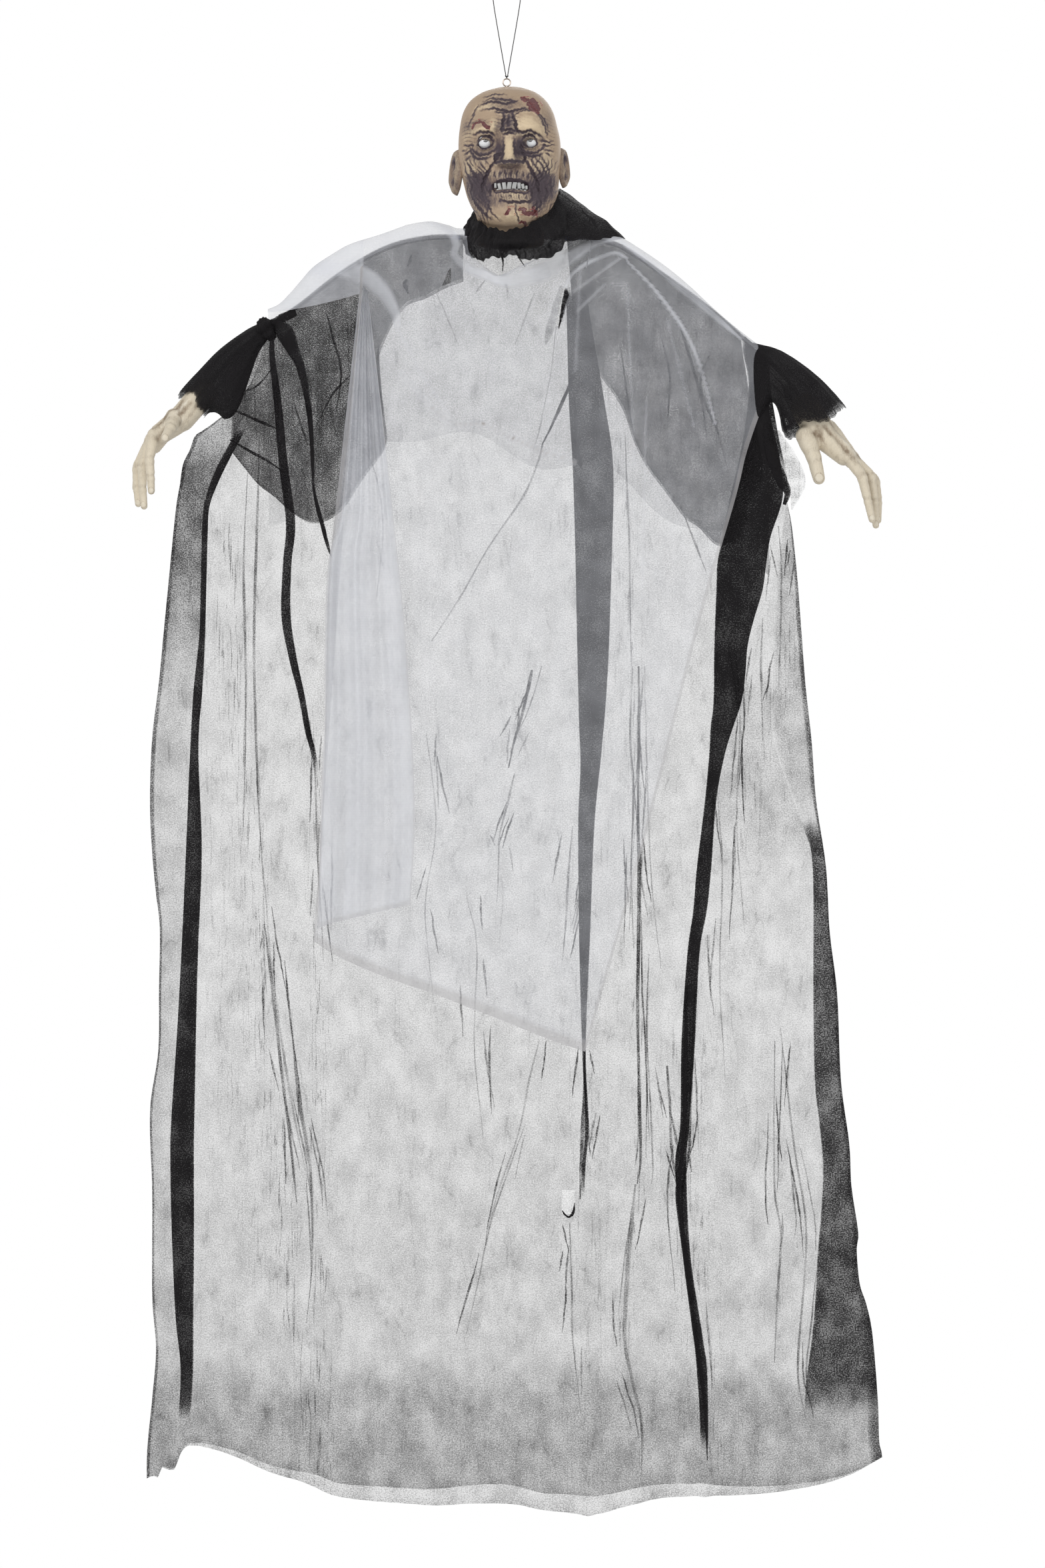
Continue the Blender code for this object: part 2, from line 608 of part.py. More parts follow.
def head_point(s, turn):
    zf, zb, left, right, yf, yb = head_ring(s)
    across = math.sin(turn)
    ahead = math.cos(turn)
    d = (zf + zb) / 2 + (zf - zb) / 2 * ahead
    x = (right if across > 0 else left) * abs(across) ** 0.92 * math.copysign(1, across)
    y = -(yf if ahead > 0 else yb) * abs(ahead) ** 0.92 * math.copysign(1, ahead)
    front = ease(ahead * 1.6) * ease((0.86 - s) / 0.1)
    return Vector((HEAD_X + x, y - face_relief(x, d) * front, CROWN_Z - d))


def head_shell(name, rows, sides, inset, close):
    bm = bmesh.new()
    bmesh.ops.create_grid(bm, x_segments=sides, y_segments=rows, size=0.5)
    centre = Vector((HEAD_X, 0.004, 0))
    for v in bm.verts:
        turn = 2 * math.pi * (v.co.x + 0.5)
        s = 0.5 - v.co.y
        p = head_point(s, turn)
        centre.z = p.z
        reach = (p - centre).length
        v.co = centre + (p - centre) * max(reach - inset, 0.001) / reach
        if inset:
            v.co.z = min(v.co.z, CROWN_Z - 0.006) - (0.02 if s > 0.999 else 0.0)
    bmesh.ops.remove_doubles(bm, verts=bm.verts[:], dist=0.00002)
    bmesh.ops.holes_fill(bm, edges=[e for e in bm.edges if e.is_boundary], sides=0)
    bmesh.ops.recalc_face_normals(bm, faces=bm.faces[:])
    mesh = bpy.data.meshes.new(name)
    bm.to_mesh(mesh)
    bm.free()
    for poly in mesh.polygons:
        poly.use_smooth = len(poly.vertices) < 5
    return add_object(name, mesh, SKIN, close)


head = head_shell("head", HEAD_ROWS, HEAD_SIDES, 0.0, parts)


def ball(name, centre, size, tilt, segments=14, rings=10):
    bm = bmesh.new()
    turn = Matrix.Translation(centre) @ Matrix.Rotation(tilt, 4, 'Y') @ Matrix.Diagonal((*size, 1))
    bmesh.ops.create_uvsphere(bm, u_segments=segments, v_segments=rings, radius=1.0, matrix=turn)
    mesh = bpy.data.meshes.new(name)
    bm.to_mesh(mesh)
    bm.free()
    obj = add_object(name, mesh, SKIN, cutters)
    obj.hide_render = True
    obj.display_type = 'WIRE'
    return obj


def boolean(obj, other, kind):
    mod = obj.modifiers.new(other.name, 'BOOLEAN')
    mod.object = other
    mod.operation = kind
    mod.solver = 'EXACT'


ear_left = ball("ear_form_left", (-0.064, 0.006, -0.254), (0.0085, 0.018, 0.0305), 0.10)
ear_right = ball("ear_form_right", (0.073, 0.006, -0.248), (0.0085, 0.018, 0.0290), -0.10)
boolean(head, ear_left, 'UNION')
boolean(head, ear_right, 'UNION')
cavity = head_shell("head_cavity", 9, 12, 0.005, cutters)
cavity.hide_render = True
cavity.display_type = 'WIRE'
boolean(head, cavity, 'DIFFERENCE')


def rod(name, a, b, radius, sides=12):
    a = Vector(a)
    b = Vector(b)
    turn = (b - a).to_track_quat('Z', 'Y').to_matrix().to_4x4()
    bm = bmesh.new()
    bmesh.ops.create_cone(bm, cap_ends=True, segments=sides, radius1=radius, radius2=radius,
                          depth=(b - a).length, matrix=Matrix.Translation((a + b) / 2) @ turn)
    mesh = bpy.data.meshes.new(name)
    bm.to_mesh(mesh)
    bm.free()
    obj = add_object(name, mesh, SKIN, cutters)
    obj.hide_render = True
    obj.display_type = 'WIRE'
    return obj


WIRE_BORE = WIRE_RADIUS + 2 * GAP
neck_bore = rod("neck_bore", (NECK_X - 0.08, 0, wire_height(NECK_X)),
                (NECK_X + 0.08, 0, wire_height(NECK_X)), WIRE_BORE)
boolean(head, neck_bore, 'DIFFERENCE')

# Hanging eye: a steel ring with a shank through the crown, held by a nut inside
EYE_X = 0.000
SHANK_RADIUS = 0.0012
EYE_CENTRE = Vector((EYE_X, 0.004, CROWN_Z + EYE_RADIUS + EYE_WIRE + GAP))
eye_bore = rod("eye_bore", EYE_CENTRE, EYE_CENTRE - Vector((0, 0, 0.03)), SHANK_RADIUS + GAP)
boolean(head, eye_bore, 'DIFFERENCE')
bm = bmesh.new()
bmesh.ops.create_grid(bm, x_segments=24, y_segments=8, size=0.5)
for v in bm.verts:
    turn = 2 * math.pi * (v.co.x + 0.5)
    round_it = 2 * math.pi * (v.co.y + 0.5)
    ring = EYE_RADIUS + EYE_WIRE * math.cos(round_it)
    v.co = EYE_CENTRE + Vector((ring * math.sin(turn), EYE_WIRE * math.sin(round_it),
                                ring * math.cos(turn)))
bmesh.ops.remove_doubles(bm, verts=bm.verts[:], dist=0.00001)
bmesh.ops.recalc_face_normals(bm, faces=bm.faces[:])
mesh = bpy.data.meshes.new("hanging_eye")
bm.to_mesh(mesh)
bm.free()
eye = add_object("hanging_eye", mesh, STEEL)
shank = rod("eye_shank", EYE_CENTRE - Vector((0, 0, EYE_RADIUS)),
            EYE_CENTRE - Vector((0, 0, EYE_RADIUS + 0.014)), SHANK_RADIUS, 10)
boolean(eye, shank, 'UNION')
nut = rod("eye_nut", EYE_CENTRE - Vector((0, 0, EYE_RADIUS + 0.0095)),
          EYE_CENTRE - Vector((0, 0, EYE_RADIUS + 0.0125)), 0.0032, 6)
nut.hide_render = False
nut.display_type = 'TEXTURED'
cutters.objects.unlink(nut)
parts.objects.link(nut)
nut.data.materials.clear()
nut.data.materials.append(STEEL)
nut_hole = rod("nut_hole", EYE_CENTRE, EYE_CENTRE - Vector((0, 0, 0.03)), SHANK_RADIUS + GAP)
boolean(nut, nut_hole, 'DIFFERENCE')

# Cord: one loop, knotted at the eye, its upper end round a hook at the origin
KNOT_TOP = EYE_CENTRE.z + EYE_RADIUS + EYE_WIRE + GAP
LOOP_RADIUS = 0.0195
loop = [(EYE_X - 0.0012, 0.004, KNOT_TOP + 0.0035), (-0.013, 0.003, -0.057),
        (-0.018, 0.001, -0.025), (-LOOP_RADIUS * 0.93, 0, -0.010)]
loop += [(LOOP_RADIUS * math.sin(a), 0, CORD_RADIUS - LOOP_RADIUS * (1 - math.cos(a)))
         for a in (-0.9, -0.45, 0, 0.45, 0.9)]
loop += [(LOOP_RADIUS * 0.93, 0, -0.010), (0.018, 0.001, -0.025), (0.013, 0.003, -0.057),
         (EYE_X + 0.0012, 0.004, KNOT_TOP + 0.0035)]
tube("hanging_cord", smooth_line(loop, 4), CORD_RADIUS, CORD)
knot = ball("cord_knot", (EYE_X, 0.004, KNOT_TOP + 0.0016), (0.0021, 0.0019, 0.0016), 0.0, 12, 8)
knot.hide_render = False
knot.display_type = 'TEXTURED'
cutters.objects.unlink(knot)
parts.objects.link(knot)
knot.data.materials.clear()
knot.data.materials.append(CORD)


# Hands: rounded bones melted into one skin, with a bore for the wire
HAND_DETAIL = 0.2


def hand(name, bones, wire_end, wire_dir):
    bm = bmesh.new()
    for a, b, ra, rb in bones:
        a = Vector(a)
        b = Vector(b)
        turn = (b - a).to_track_quat('Z', 'Y').to_matrix().to_4x4()
        bmesh.ops.create_cone(bm, cap_ends=True, segments=14, radius1=ra, radius2=rb,
                              depth=(b - a).length,
                              matrix=Matrix.Translation((a + b) / 2) @ turn)
        bmesh.ops.create_uvsphere(bm, u_segments=14, v_segments=9, radius=ra,
                                  matrix=Matrix.Translation(a))
        bmesh.ops.create_uvsphere(bm, u_segments=14, v_segments=9, radius=rb,
                                  matrix=Matrix.Translation(b))
    mesh = bpy.data.meshes.new(name)
    bm.to_mesh(mesh)
    bm.free()
    obj = add_object(name, mesh, HAND_SKIN)
    skin = obj.modifiers.new("skin", 'REMESH')
    skin.mode = 'VOXEL'
    skin.voxel_size = 0.0042
    skin.use_smooth_shade = True
    melt = obj.modifiers.new("melt", 'SMOOTH')
    melt.factor = 0.5
    melt.iterations = 2
    plain = obj.modifiers.new("plain", 'DECIMATE')
    plain.ratio = HAND_DETAIL
    end = Vector(wire_end)
    bore = rod(name + "_bore", end + Vector(wire_dir) * 0.0003, end - Vector(wire_dir) * 0.06,
               WIRE_BORE)
    boolean(obj, bore, 'DIFFERENCE')
    return obj


def wire_end(x, inner):
    a = Vector((x, 0, wire_height(x)))
    b = Vector((inner, 0, wire_height(inner)))
    return a, (a - b).normalized()


end, ahead = wire_end(WRIST_LEFT, -0.394)
hand("left_hand", [
    ((-0.403, 0.000, -0.547), (-0.433, -0.002, -0.582), 0.0185, 0.0185),
    ((-0.433, -0.004, -0.582), (-0.461, -0.010, -0.603), 0.0180, 0.0150),
    ((-0.442, -0.012, -0.582), (-0.469, -0.004, -0.618), 0.0140, 0.0110),
    ((-0.442, -0.022, -0.586), (-0.445, -0.052, -0.602), 0.0110, 0.0085),
    ((-0.445, -0.052, -0.602), (-0.451, -0.066, -0.612), 0.0080, 0.0065),
    ((-0.469, -0.016, -0.603), (-0.474, -0.030, -0.637), 0.0095, 0.0078),
    ((-0.474, -0.030, -0.637), (-0.471, -0.036, -0.680), 0.0075, 0.0060),
    ((-0.472, -0.004, -0.607), (-0.485, -0.010, -0.646), 0.0095, 0.0078),
    ((-0.485, -0.010, -0.646), (-0.483, -0.014, -0.697), 0.0075, 0.0060),
    ((-0.474, 0.008, -0.609), (-0.493, 0.008, -0.646), 0.0090, 0.0072),
    ((-0.493, 0.008, -0.646), (-0.492, 0.006, -0.694), 0.0070, 0.0055),
    ((-0.472, 0.020, -0.607), (-0.493, 0.024, -0.641), 0.0080, 0.0062),
    ((-0.493, 0.024, -0.641), (-0.496, 0.024, -0.671), 0.0062, 0.0048)],
    end, ahead)
end, ahead = wire_end(WRIST_RIGHT, 0.385)
hand("right_hand", [
    ((0.398, 0.000, -0.568), (0.419, -0.001, -0.602), 0.0200, 0.0210),
    ((0.415, -0.002, -0.600), (0.451, -0.006, -0.630), 0.0190, 0.0150),
    ((0.428, 0.006, -0.597), (0.461, 0.010, -0.637), 0.0150, 0.0120),
    ((0.398, -0.012, -0.606), (0.410, -0.026, -0.642), 0.0150, 0.0110),
    ((0.410, -0.026, -0.642), (0.414, -0.034, -0.660), 0.0110, 0.0098),
    ((0.453, -0.014, -0.632), (0.474, -0.022, -0.664), 0.0095, 0.0080),
    ((0.474, -0.022, -0.664), (0.485, -0.024, -0.715), 0.0075, 0.0058),
    ((0.458, -0.002, -0.632), (0.485, -0.006, -0.660), 0.0095, 0.0080),
    ((0.485, -0.006, -0.660), (0.492, -0.008, -0.721), 0.0075, 0.0058),
    ((0.461, 0.010, -0.634), (0.492, 0.010, -0.666), 0.0090, 0.0075),
    ((0.492, 0.010, -0.666), (0.495, 0.006, -0.715), 0.0070, 0.0055),
    ((0.463, 0.022, -0.637), (0.490, 0.026, -0.669), 0.0080, 0.0065),
    ((0.490, 0.026, -0.669), (0.493, 0.024, -0.705), 0.0062, 0.0050)],
    end, ahead)
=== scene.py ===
import math

import bpy
import numpy as np
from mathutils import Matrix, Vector


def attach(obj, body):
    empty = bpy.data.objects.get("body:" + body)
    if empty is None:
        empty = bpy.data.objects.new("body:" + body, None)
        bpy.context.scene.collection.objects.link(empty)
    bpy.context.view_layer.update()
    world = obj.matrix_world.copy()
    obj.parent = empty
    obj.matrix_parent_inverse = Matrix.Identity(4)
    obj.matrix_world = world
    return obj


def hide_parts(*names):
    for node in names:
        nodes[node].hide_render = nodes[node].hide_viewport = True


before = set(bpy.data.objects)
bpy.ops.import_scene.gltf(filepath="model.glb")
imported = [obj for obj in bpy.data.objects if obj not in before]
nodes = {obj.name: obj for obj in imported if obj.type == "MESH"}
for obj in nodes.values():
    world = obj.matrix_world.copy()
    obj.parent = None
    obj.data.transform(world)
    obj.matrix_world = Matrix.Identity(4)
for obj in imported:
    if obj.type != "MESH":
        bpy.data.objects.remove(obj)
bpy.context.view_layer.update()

# Camera and light. The camera stands level, far off, in front of the figure's
# middle. The world is white to the camera, and the lamps give soft even light.
PICTURE_HEIGHT = 2.0872
CAMERA_AWAY = 8.0
scene = bpy.context.scene
scene.view_settings.view_transform = 'Standard'
scene.cycles.transparent_max_bounces = 40
camera_data = bpy.data.cameras.new("camera")
camera = bpy.data.objects.new("camera", camera_data)
scene.collection.objects.link(camera)
camera_data.sensor_fit = 'VERTICAL'
camera_data.sensor_height = 36.0
camera_data.lens = 36.0 * CAMERA_AWAY / PICTURE_HEIGHT
camera.location = (0.021, -CAMERA_AWAY, -1.068)
camera.rotation_euler = (math.pi / 2, 0, 0)
scene.camera = camera

world = bpy.data.worlds.new("studio")
scene.world = world
world.use_nodes = True
tree = world.node_tree
background = tree.nodes["Background"]
path = tree.nodes.new("ShaderNodeLightPath")
seen = tree.nodes.new("ShaderNodeMath")
seen.operation = 'MAXIMUM'
clear = tree.nodes.new("ShaderNodeMath")
clear.operation = 'MAXIMUM'
tree.links.new(path.outputs["Is Camera Ray"], seen.inputs[0])
tree.links.new(path.outputs["Is Glossy Ray"], seen.inputs[1])
tree.links.new(seen.outputs[0], clear.inputs[0])
tree.links.new(path.outputs["Is Transmission Ray"], clear.inputs[1])
level = tree.nodes.new("ShaderNodeMapRange")
level.inputs["To Min"].default_value = 0.42
level.inputs["To Max"].default_value = 1.0
tree.links.new(clear.outputs[0], level.inputs["Value"])
tree.links.new(level.outputs["Result"], background.inputs["Strength"])
background.inputs["Color"].default_value = (1, 1, 1, 1)

for name, place, aim, size, power in (
        ("key lamp", (-1.9, -3.0, 0.9), (0, 0, -0.7), 1.6, 62),
        ("fill lamp", (2.6, -2.6, -0.3), (0, 0, -0.9), 2.0, 34),
        ("back lamp", (0.6, 3.0, 0.6), (0, 0, -0.9), 2.0, 40)):
    lamp = bpy.data.lights.new(name, 'AREA')
    lamp.size = size
    lamp.energy = power
    holder = bpy.data.objects.new(name, lamp)
    scene.collection.objects.link(holder)
    holder.location = place
    away = np.array(place) - np.array(aim)
    flat = math.hypot(away[0], away[1])
    holder.rotation_euler = (math.atan2(flat, away[2]), 0, math.atan2(away[0], -away[1]))

# Floor. A plain pale sheet well below the hem, only there to catch the shadow.
bpy.ops.object.select_all(action='DESELECT')
bpy.ops.mesh.primitive_plane_add(size=7.0, location=(0, -0.6, -2.55))
floor = bpy.context.object
floor.name = "floor"
floor_paint = bpy.data.materials.new("pale floor")
floor_paint.use_nodes = True
floor_paint.node_tree.nodes["Principled BSDF"].inputs["Base Color"].default_value = (0.88, 0.88, 0.88, 1)
floor_paint.node_tree.nodes["Principled BSDF"].inputs["Roughness"].default_value = 0.9
floor.data.materials.append(floor_paint)

# Hanging cord. Thin black cord, one loop from the knot up over the hook and
# back, pulled tight by the figure's weight. Its upper end is at the origin.
CORD_RADIUS = 0.0006
EYE_X = 0.000
EYE_Z = -0.140 + 0.0062
KNOT_Z = EYE_Z + 0.0062


def smooth_line(points, steps=8):
    """A smooth curve through the points, as an array."""
    p = np.array(points, float)
    p = np.vstack([2 * p[0] - p[1], p, 2 * p[-1] - p[-2]])
    out = []
    for a, b, c, d in zip(p, p[1:], p[2:], p[3:]):
        for t in np.arange(steps) / steps:
            out.append(0.5 * (2 * b + (c - a) * t + (2 * a - 5 * b + 4 * c - d) * t * t
                              + (3 * b - a - 3 * c + d) * t ** 3))
    out.append(p[-2])
    return np.array(out)


def plain_material(name, color, roughness, metallic=0.0):
    mat = bpy.data.materials.new(name)
    mat.use_nodes = True
    shader = mat.node_tree.nodes["Principled BSDF"]
    shader.inputs["Base Color"].default_value = (*color, 1.0)
    shader.inputs["Roughness"].default_value = roughness
    shader.inputs["Metallic"].default_value = metallic
    return mat


black_cord = plain_material("black cord", (0.012, 0.011, 0.011), 0.75)
turns = [(0.0195 * math.sin(a), 0, CORD_RADIUS - 0.0195 * (1 - math.cos(a)))
         for a in (-0.9, -0.45, 0, 0.45, 0.9)]
cord_route = smooth_line(
    [(EYE_X - 0.0012, 0.004, KNOT_Z + 0.0030), (-0.013, 0.003, -0.057), (-0.018, 0.001, -0.025),
     (-0.0181, 0, -0.010)] + turns
    + [(0.0181, 0, -0.010), (0.018, 0.001, -0.025), (0.013, 0.003, -0.057),
       (EYE_X + 0.0012, 0.004, KNOT_Z + 0.0030)], 5)
cord_curve = bpy.data.curves.new("hanging_cord", 'CURVE')
cord_curve.dimensions = '3D'
cord_curve.bevel_depth = CORD_RADIUS
cord_curve.bevel_resolution = 3
cord_curve.use_fill_caps = True
strand = cord_curve.splines.new('POLY')
strand.points.add(len(cord_route) - 1)
for point, co in zip(strand.points, cord_route):
    point.co = (*co, 1.0)
cord = bpy.data.objects.new("cord_strand", cord_curve)
scene.collection.objects.link(cord)
cord_curve.materials.append(black_cord)
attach(cord, "root")
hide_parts("hanging_cord")

# Knot. The cord's two ends tied through the eye's top: a small overhand knot
# of the same cord, drawn as one strand that winds round itself.
knot_turn = np.linspace(0, 2 * np.pi, 60)
knot_path = np.stack([0.00105 * np.sin(knot_turn) + 0.0011 * np.sin(2 * knot_turn),
                      0.00070 * np.cos(3 * knot_turn),
                      0.00085 * np.cos(knot_turn) - 0.00085 * np.cos(2 * knot_turn)], axis=1)
knot_curve = bpy.data.curves.new("cord_knot", 'CURVE')
knot_curve.dimensions = '3D'
knot_curve.bevel_depth = CORD_RADIUS * 0.95
knot_curve.bevel_resolution = 3
knot_strand = knot_curve.splines.new('POLY')
knot_strand.points.add(len(knot_path) - 2)
knot_strand.use_cyclic_u = True
for point, co in zip(knot_strand.points, knot_path[:-1]):
    point.co = (co[0] + EYE_X, co[1] + 0.004, co[2] + KNOT_Z + 0.0017, 1.0)
knot = bpy.data.objects.new("knot_strand", knot_curve)
scene.collection.objects.link(knot)
knot_curve.materials.append(black_cord)
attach(knot, "root")
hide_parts("cord_knot")

# Eye and nut. Bent steel wire eye with its shank through the crown, and the
# nut inside that holds it. Both are the source's own solids.
eye_steel = plain_material("eye steel", (0.36, 0.31, 0.27), 0.38, 1.0)
for name in ("hanging_eye", "eye_nut"):
    nodes[name].data.materials.clear()
    nodes[name].data.materials.append(eye_steel)
covered_wire = plain_material("covered wire", (0.28, 0.275, 0.29), 0.6)
nodes["arm_wire"].data.materials.clear()
nodes["arm_wire"].data.materials.append(covered_wire)

# Head. A hollow rotation-moulded face, bald and wrinkled, sprayed tan with a
# dark wash rubbed into the wrinkles and red sores painted on brow and chin.
# The wash also carries painted shade in the wrinkles, eye sockets, mouth and
# other hollows, and paler paint carries painted highlights on the raised forms.
HEAD_X = 0.004
CROWN_Z = -0.140
# Rings from crown to neck in mm: depth in front and behind, then reach to each side
HEAD_RINGS = 0.001 * smooth_line([
    (0, 0, 0, 0, 0, 0), (0.8, 0.8, 11, 11, 10, 18), (3, 3, 21, 21, 20, 34), (9, 9, 38, 36, 40, 54),
    (20, 20, 53, 49, 57, 70), (36, 34, 62, 58, 69, 80), (55, 50, 66, 63, 75, 85),
    (75, 66, 68, 67, 76, 86), (95, 82, 68, 68, 71, 84), (115, 96, 66, 67, 72, 79),
    (135, 108, 63, 66, 73, 71), (152, 116, 60, 65, 74, 62), (168, 121, 57, 64, 74, 55),
    (181, 126, 53, 61, 71, 51), (190, 134, 48, 56, 62, 49), (193, 146, 45, 50, 50, 48),
    (197, 165, 45, 47, 44, 47), (205, 196, 46, 46, 44, 47), (209, 209, 45, 45, 43.5, 45),
    (209.6, 209.6, 43, 43, 42, 43), (199, 199, 42.5, 42.5, 41.5, 42.5)], 16)
RING_PLACES = np.concatenate([np.linspace(0, 2, 12, endpoint=False), np.linspace(2, 4, 24, endpoint=False),
                              np.linspace(4, 14, 210, endpoint=False), np.linspace(14, 20, 34)])
HEAD_SIDES = 290


def ease(t):
    t = np.clip(t, 0.0, 1.0)
    return t * t * (3 - 2 * t)


def hill(dx, dz, wide, tall):
    return np.exp(-(dx / wide) ** 2 - (dz / tall) ** 2)


def face_forms(x, d):
    """Height of the face's main forms, by x from the middle and depth below the crown."""
    height = np.zeros_like(x)
    for eye in (-0.0295, 0.0295):
        height -= 0.0105 * hill(x - eye, d - 0.081, 0.016, 0.0115)
        height += 0.0055 * hill(x - eye, d - 0.062, 0.021, 0.007)
        height += 0.0045 * hill(x - eye * 1.35, d - 0.108, 0.014, 0.013)
        height -= 0.0045 * hill(x - eye * 1.15, d - 0.135, 0.012, 0.014)
    height += 0.0050 * hill(x - 0.030, d - 0.056, 0.020, 0.011)
    height += 0.0030 * hill(x + 0.022, d - 0.056, 0.010, 0.009)
    height -= 0.0030 * hill(x, d - 0.060, 0.008, 0.014)
    nose = ease((d - 0.070) / 0.038) * (1 - ease((d - 0.1105) / 0.0075))
    height += 0.022 * nose * np.exp(-np.abs(x / (0.0088 + 0.07 * np.maximum(d - 0.09, 0))) ** 2.6)
    for wing in (-0.0135, 0.0135):
        height += 0.0085 * hill(x - wing, d - 0.1085, 0.0058, 0.0058)
        height -= 0.0040 * hill(x - wing * 0.55, d - 0.1145, 0.0035, 0.0022)
    height += 0.0050 * hill(x, d - 0.128, 0.018, 0.009)
    height += 0.0030 * hill(x, d - 0.1515, 0.020, 0.005)
    height += 0.0060 * hill(x - 0.002, d - 0.174, 0.018, 0.011)
    mouth = 0.1405 - 0.0025 * np.cos(np.pi * x / 0.05)
    height -= 0.0085 * ease((0.0262 - np.abs(x - 0.001)) / 0.006) * np.exp(-((d - mouth) / 0.0052) ** 4)
    return height
